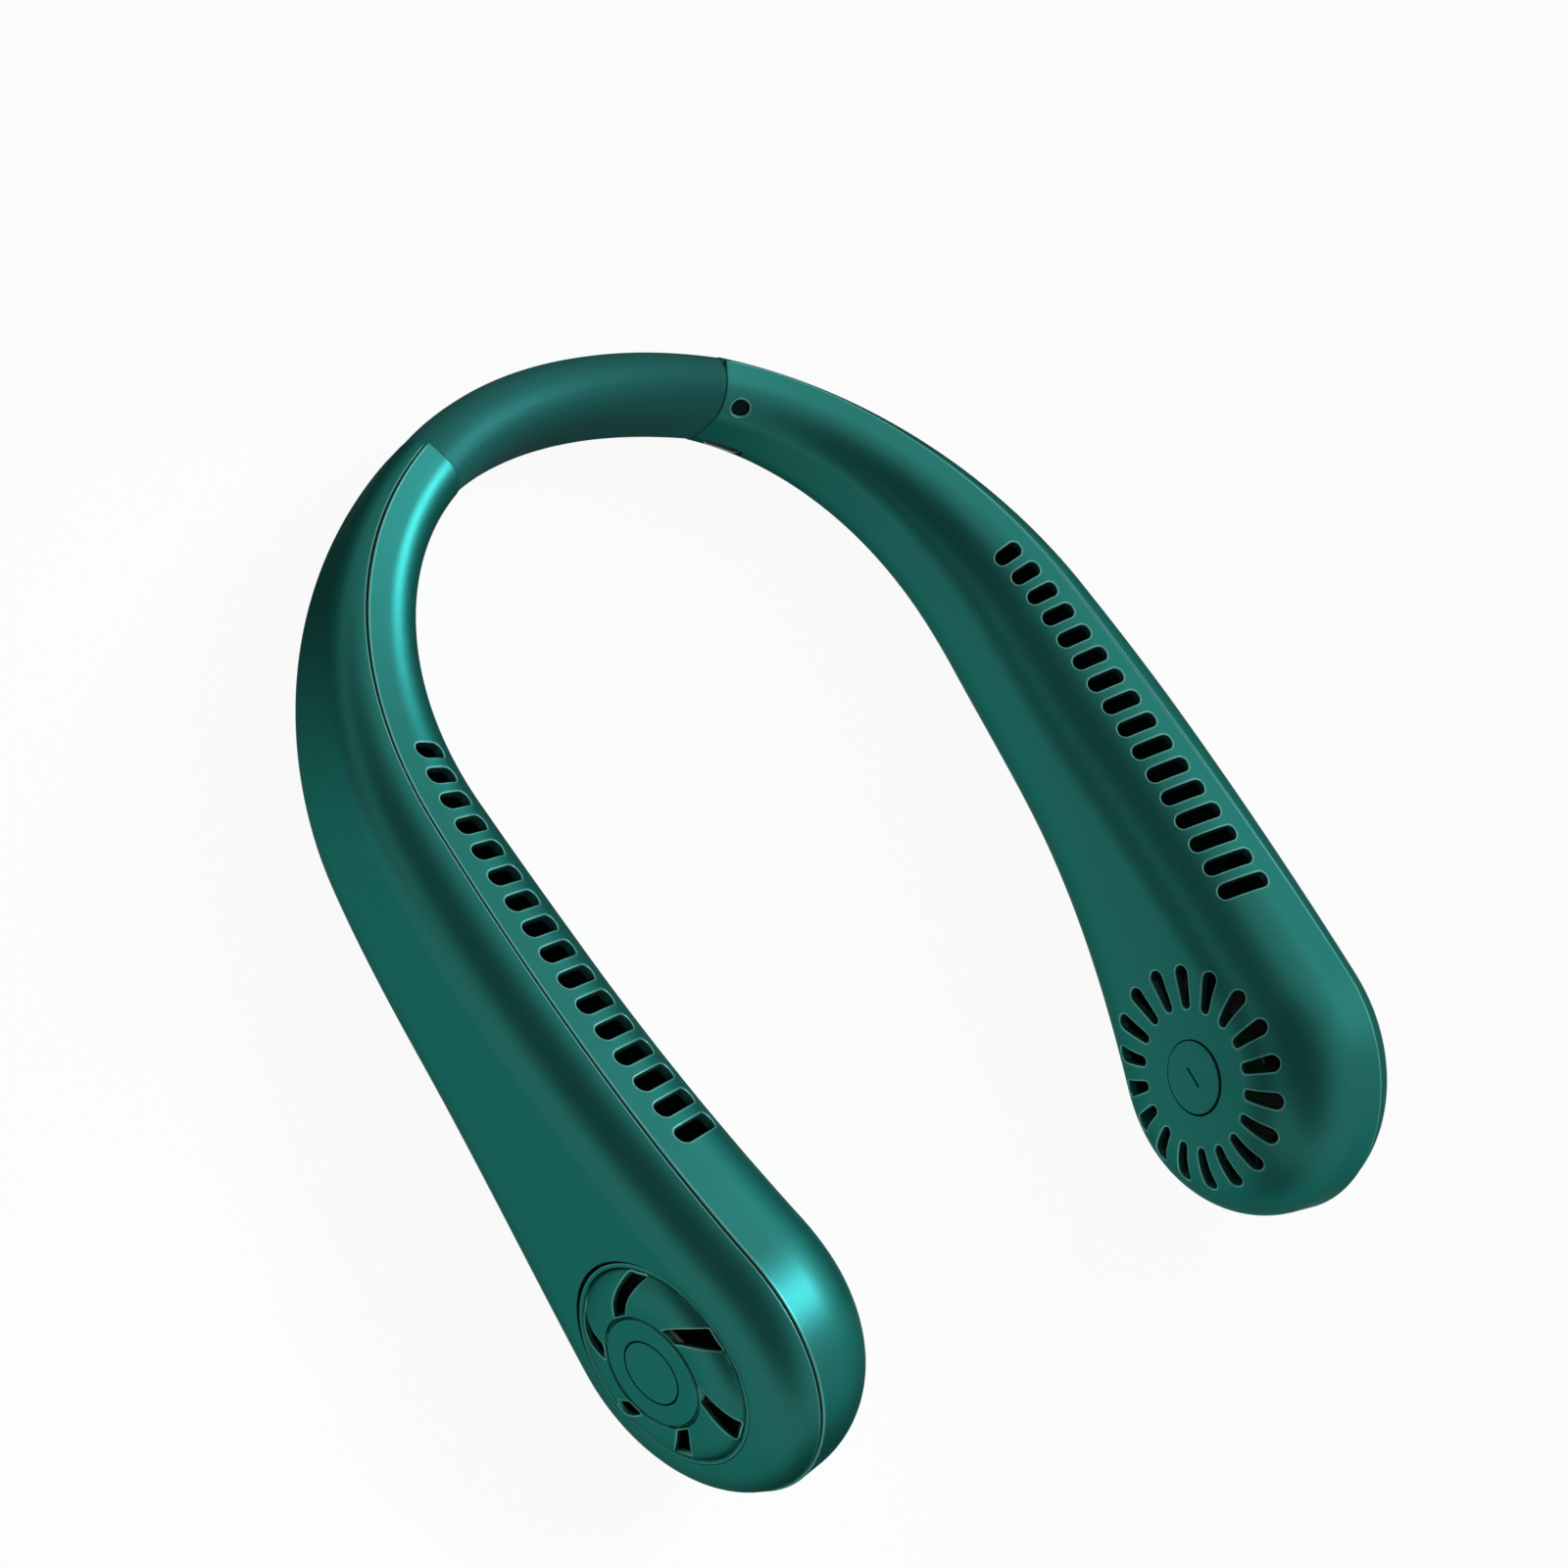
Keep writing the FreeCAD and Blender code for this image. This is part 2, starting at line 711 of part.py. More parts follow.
def motor_screws():
    screws = []
    for x, y in circle_points(motor_screw_count, motor_screw_circle):
        head = cylinder(screw_head_radius, base_bottom - screw_head_height, base_bottom, x, y)
        shank = cylinder(screw_radius - screw_fit, base_bottom, hub_under + motor_screw_grip, x, y)
        screws.append(in_head(head.fuse(shank)))
    return Part.makeCompound(screws)


def motor_bush():
    bottom = can_bottom + 2 * can_floor
    return in_head(ring(shaft_radius + shaft_clearance, bush_radius, bottom, bottom + bush_length))


def motor_stator():
    """Core ring with poles and curved shoes, pressed on the base's tube."""
    core = bush_radius + tube_wall + bond_gap
    edge = can_radius - can_wall - magnet_thickness - air_gap
    bottom = can_top - magnet_length
    top = bottom + stator_length
    pieces = []
    for k in range(stator_poles):
        pole = Part.makeBox(edge - core, pole_width, stator_length, V(core, -0.5 * pole_width, bottom))
        shoe = ring(edge - shoe_thickness, edge, bottom, top)
        wedge = Part.makeBox(edge, 3 * pole_width, stator_length, V(0, -1.5 * pole_width, bottom))
        part = pole.common(cylinder(edge, bottom, top)).fuse(shoe.common(wedge))
        part.rotate(V(0, 0, 0), V(0, 0, 1), 360.0 * k / stator_poles)
        pieces.append(part)
    hub = ring(core, core + shoe_thickness, bottom, top)
    return in_head(hub.fuse(pieces))


def motor_shaft():
    bush_top = can_bottom + 2 * can_floor + bush_length
    return in_head(cylinder(shaft_radius, plate_bottom, bush_top))


def motor_rotor():
    can = cylinder(can_radius, can_bottom, can_top)
    can = can.cut(cylinder(can_radius - can_wall, can_bottom + can_floor, can_top))
    return in_head(can.cut(cylinder(shaft_radius, can_bottom, can_top)))


def rotor_magnet():
    outer = can_radius - can_wall
    return in_head(ring(outer - magnet_thickness, outer, can_top - magnet_length, can_top))


def impeller():
    """Cup, plate and blade cage in one moulding."""
    cup_outer = can_radius + bond_gap + cup_wall
    cup = ring(can_radius + bond_gap, cup_outer, plate_top, cup_top)
    plate = cylinder(impeller_radius, plate_bottom, plate_top)
    plate = plate.cut(cylinder(shaft_radius, plate_bottom, plate_top))
    low = plate_bottom - blade_below_plate
    high = plate_top + blade_above_plate
    blade_middle = impeller_radius - 0.5 * blade_chord
    blades = []
    for k in range(blade_count):
        corner = V(-0.5 * blade_chord, -0.5 * blade_thickness, low)
        blade = Part.makeBox(blade_chord, blade_thickness, high - low, corner)
        blade.rotate(V(0, 0, 0), V(0, 0, 1), blade_stagger)
        blade.translate(V(blade_middle, 0, 0))
        blade.rotate(V(0, 0, 0), V(0, 0, 1), 360.0 * k / blade_count)
        blades.append(blade)
    rims = [ring(impeller_radius - cage_ring_width, impeller_radius, low, low + cage_ring_thickness),
            ring(impeller_radius - cage_ring_width, impeller_radius, high - cage_ring_thickness, high)]
    wheel = plate.fuse([cup] + rims + blades)
    return in_head(wheel.common(cylinder(impeller_radius, low, high)))


def power_button():
    cap = cylinder(button_radius, inner_face - button_proud, button_back)
    cap = cap.fuse(cylinder(button_radius + button_flange_width, flange_front, button_back))
    bar = Part.makeBox(button_bar_length, button_bar_width, button_bar_depth,
                       V(-0.5 * button_bar_length, -0.5 * button_bar_width, inner_face - button_proud))
    bar.rotate(V(0, 0, 0), V(0, 0, 1), button_bar_turn)
    return in_head(cap.cut(bar))


def switch_plunger():
    return in_head(cylinder(plunger_radius, plunger_front, plunger_back))


def tact_switch():
    half = 0.5 * switch_width
    case = Part.makeBox(switch_width, switch_width, switch_height, V(-half, -half, switch_front))
    room = plunger_back + button_travel + plunger_room
    return in_head(case.cut(cylinder(plunger_radius + plunger_side_gap, switch_front, room)))


def control_board():
    board = cylinder(board_radius, board_front, board_back)
    holes = [cylinder(screw_radius + screw_fit, board_front, board_back, x, y)
             for x, y in circle_points(post_count, post_circle)]
    return in_head(board.cut(holes))


def board_screws():
    screws = []
    for x, y in circle_points(post_count, post_circle):
        head = cylinder(screw_head_radius, board_back, board_back + screw_head_height, x, y)
        tip = board_front - board_screw_grip + screw_fit
        shank = cylinder(screw_radius - screw_fit, tip, board_back, x, y)
        screws.append(in_head(head.fuse(shank)))
    return Part.makeCompound(screws)


def cell_middle():
    u = reach(cell_station)
    return 0.5 * (top_height(u) + bottom_height(u))


def battery_cell():
    half = 0.5 * cell_length
    bottom = cell_middle() - 0.5 * cell_height
    depth = (cell_shift - 0.5 * cell_depth, cell_shift + 0.5 * cell_depth)
    block = box_at(cell_station, (-half, half), depth, bottom, bottom + cell_height)
    return block.makeFillet(cell_rounding, block.Edges)


def battery_pad():
    """Foam between the cell and the arm's inner wall."""
    half = 0.5 * pad_length
    bottom = cell_middle() - 0.5 * pad_height
    face = cell_shift - 0.5 * cell_depth - assembly_clearance
    depth = (face - head_inner_depth, face)
    block = box_at(cell_station, (-half, half), depth, bottom, bottom + pad_height)
    return block.common(seat_space)


def neck_sleeve():
    end = sleeve_half_length - sleeve_end_gap
    outside = neck_loft(-end, end, sleeve_half_depth, sleeve_height, sleeve_rounding, sleeve_taper)
    bore = neck_loft(-end, end, sleeve_half_depth - sleeve_wall, sleeve_height - 2 * sleeve_wall,
                     sleeve_rounding - sleeve_wall, sleeve_taper)
    return outside.cut(bore)


def middle_shift():
    """Move along Y that puts the origin under the middle of the whole fan, between head tips and sleeve."""
    tip = (head_radius - head_rounding) * abs(head_forward.y) + head_rounding
    tip += (head_outer_depth - head_rounding) * abs(head_normal.y)
    return -0.5 * (head_point.y - tip + sleeve_half_depth)


SHIFT = V(0, middle_shift(), 0)


def save(name, shape):
    solids = shape.Solids
    if not shape.isValid() or not solids or min(solid.Volume for solid in solids) <= 0:
        raise ValueError(name + " is not a sound solid")
    result = solids[0].copy() if len(solids) == 1 else Part.makeCompound(solids)
    result.translate(SHIFT)
    result.exportStep("parts/" + name + ".step")
    print(name, len(solids), round(shape.Volume, 1))


def save_pair(name, shape):
    """One piece for each arm."""
    save("right_" + name, shape)
    save("left_" + name, shape.mirror(V(0, 0, 0), V(1, 0, 0)))


save("right_inner_shell", inner_shell(True))
save("left_inner_shell", inner_shell(False).mirror(V(0, 0, 0), V(1, 0, 0)))
save_pair("outer_cover", outer_cover())
save_pair("intake_grille", intake_grille())
save_pair("hub_cap", hub_cap())
save_pair("motor_base", motor_base())
save_pair("motor_screws", motor_screws())
save_pair("motor_bush", motor_bush())
save_pair("motor_stator", motor_stator())
save_pair("motor_shaft", motor_shaft())
save_pair("motor_rotor", motor_rotor())
save_pair("rotor_magnet", rotor_magnet())
save_pair("impeller", impeller())
save_pair("battery_cell", battery_cell())
save_pair("battery_pad", battery_pad())
save_pair("neck_plug", neck_plug())
save("power_button", power_button())
save("switch_plunger", switch_plunger())
save("tact_switch", tact_switch())
save("control_board", control_board())
save("board_screws", board_screws())
save("charge_board", charge_board())
save("charge_port", charge_port())
save("indicator_lens", indicator_lens())
save("neck_sleeve", neck_sleeve())
save("neck_spine", neck_spine(plug_start + spine_reach - spine_clearance, 0.0))
save("neck_cable", cable_solid(plug_end + cable_reach, cable_radius))
print("fan axis through", HEAD.Base + SHIFT, "along", head_normal)
print("neck middle at", V(0, 0, neck_middle(0.0)) + SHIFT)
port_at, port_out, port_along = station(port_station)
print("port mouth at", port_at + port_out * port_front + UP * port_height + SHIFT, "facing", port_out * -1)
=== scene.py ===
import json
from collections import namedtuple
import bpy
import numpy as np
from mathutils import Matrix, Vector
from mathutils.geometry import delaunay_2d_cdt


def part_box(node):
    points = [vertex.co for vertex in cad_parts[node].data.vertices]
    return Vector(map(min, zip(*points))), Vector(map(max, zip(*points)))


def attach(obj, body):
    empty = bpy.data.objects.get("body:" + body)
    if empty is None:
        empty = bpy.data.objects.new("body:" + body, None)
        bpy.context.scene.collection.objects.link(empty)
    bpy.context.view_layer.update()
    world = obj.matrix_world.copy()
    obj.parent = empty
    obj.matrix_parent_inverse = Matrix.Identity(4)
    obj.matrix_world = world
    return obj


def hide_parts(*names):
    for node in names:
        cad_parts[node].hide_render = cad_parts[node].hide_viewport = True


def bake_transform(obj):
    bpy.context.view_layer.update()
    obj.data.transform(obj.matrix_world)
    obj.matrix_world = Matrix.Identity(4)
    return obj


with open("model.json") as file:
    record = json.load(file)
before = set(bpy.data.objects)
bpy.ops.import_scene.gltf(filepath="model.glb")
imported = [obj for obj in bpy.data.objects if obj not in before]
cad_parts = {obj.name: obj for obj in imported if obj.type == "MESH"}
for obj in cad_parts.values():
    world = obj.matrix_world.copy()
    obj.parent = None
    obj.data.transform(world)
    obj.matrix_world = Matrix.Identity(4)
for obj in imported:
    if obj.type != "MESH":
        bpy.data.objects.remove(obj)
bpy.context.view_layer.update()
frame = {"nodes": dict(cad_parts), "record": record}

# Sizes in millimetres, in the frame of the solids
MM = 0.001
UP = np.array([0.0, 0.0, 1.0])

# Centre line, depth and side outline of the arms
neck_radius = 84.0
neck_turn = np.radians(88.4)
arm_radius = 555.0
arm_length = 107.7
sleeve_half_length = 39.5
neck_half_depth = 7.4
head_outer_depth = 13.55
head_inner_depth = 17.2
depth_start = 40.0
depth_end = 165.0
neck_rounding = 7.0
head_rounding = 11.3
head_inner_rounding = 16.8
head_radius = 32.25
top_tangent = np.radians(15.0)
bottom_tangent = np.radians(10.0)
neck_end_reach = 184.0
neck_top_height = 23.6
neck_bottom_height = 4.8
waist_reach = 62.0
waist_height = 6.6
belly_reach = 118.0
belly_height = 3.4

# Shell edges
wall = 1.8
seam_gap = 0.2
seam_neck_offset = 4.0
seam_head_offset = 5.3
seam_dip = 1.3
edge_softness = 0.25
# Width of the fine band beside each rounded edge over which the painted highlight fades out
highlight_band = 0.2
ring_softness = 0.1
gap_softness = 0.2
lens_softness = 0.3
port_softness = 0.2
button_softness = 0.15
button_hole_softness = 0.12
bar_softness = 0.08

# Strength of the painted highlight on the edges, from 0 to 1
shell_edge_highlight = 1.0
gap_edge_highlight = 0.8
rim_edge_highlight = 0.6

# Spacing of points along cut lines and over the sheets, and points on a circle
outline_step = 0.8
slot_step = 0.4
gap_step = 0.3
bar_step = 0.1
shell_step = 1.0
grille_step = 0.5
disc_step = 1.0
button_step = 0.7
slope_step = 0.02
rim_points = 240
disc_points = 120
lens_points = 40

# Openings of the shells
outlet_count = 16
outlet_first = 114.8
outlet_last = 204.0
outlet_width = 3.5
outlet_corner = 1.65
outlet_outer_offset = (-0.8, 0.2)
outlet_length = (6.6, 11.2)
intake_count = 18
intake_phase = 2.0
intake_radii = (15.0, 24.7)
intake_widths = (2.3, 3.6)
button_hole_radius = 8.25
lens_station = 44.0
lens_tilt = np.radians(40.0)
lens_bore = 1.95
port_station = 48.0
port_height = 9.5
port_size = (9.3, 3.6)

# Grille, hub cap and button
grille_hole_radius = 21.33
rim_radius = 21.2
rim_width = 0.9
rim_depth = 2.5
dome_sink = 1.2
dome_parabola = 0.35
hub_rise = 3.0
hub_flat_radius = 14.2
hub_line_radius = 11.55
hub_line_width = 0.6
hub_line_depth = 0.9
cap_radius = 6.5
cap_hole_radius = 6.85
cap_thickness = 1.0
cap_floor_gap = 0.05
gap_count = 6
gap_phase = 9.2
gap_sweep = 22.3
gap_radii = (12.2, 19.9)
gap_widths = (3.45, 4.85)
grille_thickness = 1.0
button_radius = 7.8
button_proud = 0.3
button_depth = 3.0
bar_length = 5.0
bar_width = 0.45
bar_depth = 0.25
bar_turn = 165.0

# Neck sleeve, strip and cable
sleeve_step = 0.15
sleeve_half_depth = neck_half_depth - sleeve_step
sleeve_height = 22.4
sleeve_rounding = neck_rounding - sleeve_step
sleeve_straight = 0.5 * sleeve_height - sleeve_rounding
sleeve_reach = 39.4
sleeve_edge = 0.06
spine_size = (0.4, 9.0)
spine_reach = 36.4
cable_radius = 1.2
cable_shift = -2.6
cable_reach = 45.9

bow_length = neck_radius * neck_turn
head_station = bow_length + arm_length
back_of_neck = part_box("neck_sleeve")[1][1] / MM - sleeve_half_depth


def ease(value, start, end):
    """Smooth step: 3x^2 - 2x^3 of the share of the way from start to end."""
    x = np.clip((value - start) / (end - start), 0.0, 1.0)
    return x * x * (3 - 2 * x)


def grown(neck_value, head_value, s):
    """A size that eases from its neck value to its head value along the arm."""
    return neck_value + (head_value - neck_value) * ease(s, depth_start, depth_end)


def centre_line(s):
    """Point, outward normal and forward direction: a bow of one radius, then an arm of a larger one."""
    bow = np.minimum(s, bow_length) / neck_radius
    turn = bow + np.maximum(s - bow_length, 0.0) / arm_radius
    x = neck_radius * np.sin(bow) + arm_radius * (np.sin(turn) - np.sin(bow))
    y = neck_radius * (np.cos(bow) - 1) + arm_radius * (np.cos(turn) - np.cos(bow)) + back_of_neck
    zero = np.zeros_like(x)
    point = np.stack([x, y, zero], -1)
    normal = np.stack([np.sin(turn), np.cos(turn), zero], -1)
    forward = np.stack([np.cos(turn), -np.sin(turn), zero], -1)
    return point, normal, forward


head_point, head_normal, head_forward = centre_line(np.array(head_station))
head_centre = head_point + UP * head_radius


def top_height(u):
    """Top edge over the distance u from the fan axis: the head's circle, then one arc tangent to it."""
    start_u = head_radius * np.sin(top_tangent)
    start_z = head_radius * (1 + np.cos(top_tangent))
    du = neck_end_reach - start_u
    dz = neck_top_height - start_z
    radius = (du ** 2 + dz ** 2) / (2 * (du * np.sin(top_tangent) + dz * np.cos(top_tangent)))
    centre_u = start_u + radius * np.sin(top_tangent)
    centre_z = start_z + radius * np.cos(top_tangent)
    sweep = centre_z - np.sign(radius) * np.sqrt(radius ** 2 - (u - centre_u) ** 2)
    circle = head_radius + np.sqrt(np.maximum(head_radius ** 2 - u ** 2, 0.0))
    return np.where(u <= start_u, circle, sweep)


def bottom_height(u):
    """Bottom edge: the head's circle, then eased to a waist, a belly and the neck end."""
    start_u = head_radius * np.sin(bottom_tangent)
    start_z = head_radius * (1 - np.cos(bottom_tangent))
    circle = head_radius - np.sqrt(np.maximum(head_radius ** 2 - u ** 2, 0.0))
    span = waist_reach - start_u
    x = np.clip((u - start_u) / span, 0.0, 1.0)
    waist = start_z + (waist_height - start_z) * x * x * (3 - 2 * x)
    waist = waist + np.tan(bottom_tangent) * span * x * (1 - x) ** 2
    belly = waist_height + (belly_height - waist_height) * ease(u, waist_reach, belly_reach)
    neck = belly_height + (neck_bottom_height - belly_height) * ease(u, belly_reach, neck_end_reach)
    return np.select([u <= start_u, u <= waist_reach, u <= belly_reach], [circle, waist, belly], neck)


def arm_section(s, side):
    """Flat half height, rounding, depth and mid height at a station, on the outside (1) or inside (-1)."""
    u = (head_point - centre_line(s)[0]) @ head_forward
    high = top_height(u)
    low = bottom_height(u)
    rounding = grown(neck_rounding, head_rounding if side > 0 else head_inner_rounding, s)
    depth = grown(neck_half_depth, head_outer_depth if side > 0 else head_inner_depth, s)
    return 0.5 * (high - low) - rounding, rounding, depth, 0.5 * (high + low)


def arm_skin(side):
    """Skin of one side of the right arm over its unrolled pattern (along, around).

    Along is the distance past the fan axis and around the length over the skin from mid height: up the flat
    side, round the corner, then across the band. Past the axis the same profile turns about the axis."""
    def surface(pattern):
        along = pattern[:, 0]
        around = pattern[:, 1]
        s = head_station + np.minimum(along, 0.0)
        point, normal, forward = centre_line(s)
        flat, rounding, depth, middle = arm_section(s, side)
        past = np.maximum(along, 0.0)
        length = np.hypot(past, around)
        angle = np.clip((length - flat) / rounding, 0.0, 0.5 * np.pi)
        across = np.maximum(length - flat - 0.5 * np.pi * rounding, 0.0)
        lateral = depth - rounding + rounding * np.cos(angle) - across
        rise = np.minimum(length, flat) + rounding * np.sin(angle)
        share = rise / np.maximum(length, 1e-9)
        return (point + normal * (side * lateral)[:, None] + forward * (past * share)[:, None]
                + UP * (middle + around * share)[:, None])
    return surface


def around_at_offset(s, offset, side):
    """Pattern distance over the top at which the skin reaches a sideways offset from the centre line."""
    flat, rounding, depth, middle = arm_section(s, side)
    inward = depth - rounding - side * offset
    bend = np.arcsin(np.clip(-inward / rounding, 0.0, 1.0))
    return flat + rounding * (0.5 * np.pi - bend) + np.maximum(inward, 0.0)


def seam_around(s, side):
    """Pattern distance of the shell's own edge along the seam."""
    share = np.clip((s - sleeve_half_length) / (head_station - sleeve_half_length), 0.0, 1.0)
    offset = seam_neck_offset + (seam_head_offset - seam_neck_offset) * share
    offset = offset - seam_dip * np.sin(np.pi * share) ** 2 + 0.5 * seam_gap * (1 + side)
    return around_at_offset(s, offset, side)


def around_at_height(s, height):
    """Pattern distance at which the inner skin reaches a height: up the flat side, then round the corner."""
    flat, rounding, depth, middle = arm_section(s, -1)
    rise = np.abs(height - middle)
    bend = np.arcsin(np.clip((rise - flat) / rounding, 0.0, 1.0))
    return np.sign(height - middle) * (np.minimum(rise, flat) + rounding * bend)


def evenly(loop, spacing):
    """A closed line drawn again with points at even steps."""
    closed = np.vstack([loop, loop[:1]])
    steps = np.hypot(*np.diff(closed, axis=0).T)
    travel = np.concatenate([[0.0], np.cumsum(steps)])
    marks = np.linspace(0.0, travel[-1], max(int(travel[-1] / spacing), 12), endpoint=False)
    return np.stack([np.interp(marks, travel, closed[:, k]) for k in range(2)], 1)


def winding(loop, clockwise=False):
    """The loop in the asked sense of travel, so that the sheet lies on its right."""
    x, y = loop.T
    area = np.sum(x * np.roll(y, -1) - y * np.roll(x, -1))
    return loop[::-1] if (area < 0) != clockwise else loop


def rounded_box(width, height, corner):
    """Rounded rectangle about the origin: four quarter circles joined by straight sides."""
    turn = np.linspace(0.0, 0.5 * np.pi, 7)
    quarters = []
    for k, (sx, sy) in enumerate(((1, 1), (-1, 1), (-1, -1), (1, -1))):
        angle = turn + 0.5 * np.pi * k
        quarters.append(np.stack([sx * (0.5 * width - corner) + corner * np.cos(angle),
                                  sy * (0.5 * height - corner) + corner * np.sin(angle)], 1))
    return np.concatenate(quarters)


def tapered_slot(start, end, start_width, end_width):
    """Radial slot with round ends: the hull of a small circle and a larger one further out."""
    turn = np.linspace(-0.5 * np.pi, 0.5 * np.pi, 13)
    r0 = 0.5 * start_width
    r1 = 0.5 * end_width
    outer = np.stack([end - r1 + r1 * np.cos(turn), r1 * np.sin(turn)], 1)
    inner = np.stack([start + r0 - r0 * np.cos(turn), -r0 * np.sin(turn)], 1)
    return np.concatenate([outer, inner])


def circle(radius, count=96):
    """Points at even angles round a circle about the origin."""
    turn = np.linspace(0.0, 2 * np.pi, count, endpoint=False)
    return radius * np.stack([np.cos(turn), np.sin(turn)], 1)


def turned(loop, degrees):
    """The loop turned about the origin by an angle in degrees."""
    angle = np.radians(degrees)
    spin = np.array([[np.cos(angle), np.sin(angle)], [-np.sin(angle), np.cos(angle)]])
    return loop @ spin


def right_of(loop):
    """Unit direction to the right of travel at each point of a closed loop, where the sheet lies."""
    along = np.roll(loop, -1, 0) - np.roll(loop, 1, 0)
    along /= np.hypot(*along.T)[:, None]
    return np.stack([along[:, 1], -along[:, 0]], 1)


def within(points, loop):
    """Which points lie inside a closed loop, by counting the edges crossed on the way out."""
    a = loop[None]
    b = np.roll(loop, -1, 0)[None]
    x = points[:, None, 0]
    y = points[:, None, 1]
    spans = (a[..., 1] > y) != (b[..., 1] > y)
    rise = np.where(b[..., 1] == a[..., 1], 1e-12, b[..., 1] - a[..., 1])
    crossing = a[..., 0] + (y - a[..., 1]) * (b[..., 0] - a[..., 0]) / rise
    return np.sum(spans & (x < crossing), 1) % 2 == 1


def nearest(points, loop):
    """Distance from each point to the closest point of a loop."""
    return np.sqrt(np.min(np.sum((points[:, None] - loop[None]) ** 2, 2), 1))


def facing(surface, pattern, sign):
    """Surface normal from the cross product of central differences over the pattern."""
    across = surface(pattern + [slope_step, 0.0]) - surface(pattern - [slope_step, 0.0])
    upward = surface(pattern + [0.0, slope_step]) - surface(pattern - [0.0, slope_step])
    normal = sign * np.cross(across, upward)
    return normal / np.linalg.norm(normal, axis=1)[:, None]


def mesh_object(name, points, faces, normals=None, **masks):
    """A mesh object from points in millimetres, with vertex normals and named vertex masks where given."""
    mesh = bpy.data.meshes.new(name)
    mesh.from_pydata((points * MM).tolist(), [], faces)
    mesh.validate()
    mesh.shade_smooth()
    if normals is not None:
        mesh.normals_split_custom_set_from_vertices(normals.tolist())
    for label, values in masks.items():
        mask = mesh.attributes.new(label, "FLOAT", "POINT")
        mask.data.foreach_set("value", np.asarray(values, np.float32))
    piece = bpy.data.objects.new(name, mesh)
    bpy.context.scene.collection.objects.link(piece)
    return piece


# A cut through a sheet: its line, the radius of its edge, its depth, the strength of the painted highlight
# on its edge (one value, or one for each point of the line) and whether it has a floor
Cut = namedtuple("Cut", "line soft depth polish floored", defaults=(0.0, False))


def cut_sheet(name, surface, outline, holes, fill, sign, spacing):
    """A sheet over a flat pattern, with openings, whose cut edges are rounded over and turned inwards.

    The pattern between the cuts is filled with triangles and carried to the surface. Each cut then goes
    round a quarter turn and down its depth along the normal. The mask "edge" holds the strength of a painted
    highlight on the rounding and on a fine band beside it."""
    cuts = [outline]
    cuts += [hole._replace(line=winding(hole.line)) for hole in holes]
    rims = [cut.line + (cut.soft + highlight_band) * right_of(cut.line) for cut in cuts]
    keep = within(fill, rims[0]) & (nearest(fill, rims[0]) > 0.5 * spacing)
    for rim in rims[1:]:
        keep &= ~within(fill, rim) & (nearest(fill, rim) > 0.4 * spacing)
    flat = np.concatenate(rims + [fill[keep]])
    starts = np.cumsum([0] + [len(rim) for rim in rims])[:-1]
    edges = np.concatenate([start + np.stack([np.arange(len(rim)), np.roll(np.arange(len(rim)), -1)], 1)
                            for start, rim in zip(starts, rims)])
    filled = delaunay_2d_cdt(flat.tolist(), edges.tolist(), [], 0, 1e-6, False)
    flat = np.array(filled[0])
    triangles = np.array(filled[2])
    middles = flat[triangles].mean(1)
    keep = within(middles, rims[0])
    for rim in rims[1:]:
        keep &= ~within(middles, rim)
    faces = triangles[keep][:, ::int(sign)].tolist()
    points = [surface(flat)]
    normals = [facing(surface, flat, sign)]
    edge = [np.zeros(len(flat))]
    total = len(flat)
    for start, cut in zip(starts, cuts):
        count = len(cut.line)
        right = right_of(cut.line)
        toward = surface(cut.line - slope_step * right) - surface(cut.line)
        toward /= np.linalg.norm(toward, axis=1)[:, None]
        ring = np.arange(count)
        after = np.roll(ring, -1)
        above = start + ring
        for turn, drop, share in ((0.0, 0.0, 1.0), (0.5, 0.0, 1.0), (1.0, 0.0, 0.5), (1.0, cut.depth, 0.0)):
            bend = 0.5 * np.pi * turn
            place = cut.line + cut.soft * (1 - np.sin(bend)) * right
            normal = facing(surface, place, sign)
            points.append(surface(place) - max(drop, cut.soft * (1 - np.cos(bend))) * normal)
            normals.append(np.cos(bend) * normal + np.sin(bend) * toward)
            # Mask for the painted highlight: full over the rounding, half at its foot, none down the wall
            edge.append(np.full(count, share) * cut.polish)
            below = total + ring
            quads = np.stack([above, above[after], below[after], below], 1)
            faces += quads[:, ::int(sign)].tolist()
            above = below
            total += count
        if cut.floored:
            faces.append(above[::int(sign)].tolist())
    points = np.concatenate(points)
    return mesh_object(name, points, faces, np.concatenate(normals), edge=np.concatenate(edge))


def mirrored(surface):
    """The same surface on the left arm."""
    def other(pattern):
        return surface(pattern) * [-1.0, 1.0, 1.0]
    return other


def arm_pattern(side):
    """Outline of a shell's pattern, from the neck end round the tip, and the points that fill it.

    The outline's edge carries the painted highlight, apart from the stretch that meets the sleeve."""
    along = np.linspace(sleeve_half_length - head_station, 0.0, 100)
    edge = seam_around(head_station + along, side)
    turn = np.linspace(0.5 * np.pi, -0.5 * np.pi, 60)[1:-1]
    tip = edge[-1] * np.stack([np.cos(turn), np.sin(turn)], 1)
    top = np.stack([along, edge], 1)
    outline = np.concatenate([top, tip, top[::-1] * [1.0, -1.0]])
    shares = np.linspace(-1.0, 1.0, 75)
    rows = np.stack([np.repeat(along, len(shares)), np.outer(edge, shares).ravel()], 1)
    arcs = np.outer(np.linspace(0.02, 1.0, 40), tip.T.ravel()).reshape(40, 2, -1)
    fill = np.concatenate([rows, arcs.transpose(0, 2, 1).reshape(-1, 2)])
    outline = winding(evenly(outline, outline_step), True)
    # Painted highlight along the outline, faded out where the shell meets the sleeve
    polish = shell_edge_highlight * ease(outline[:, 0] - along[0], 0.5, 1.5)
    return Cut(outline, edge_softness, wall, polish), fill


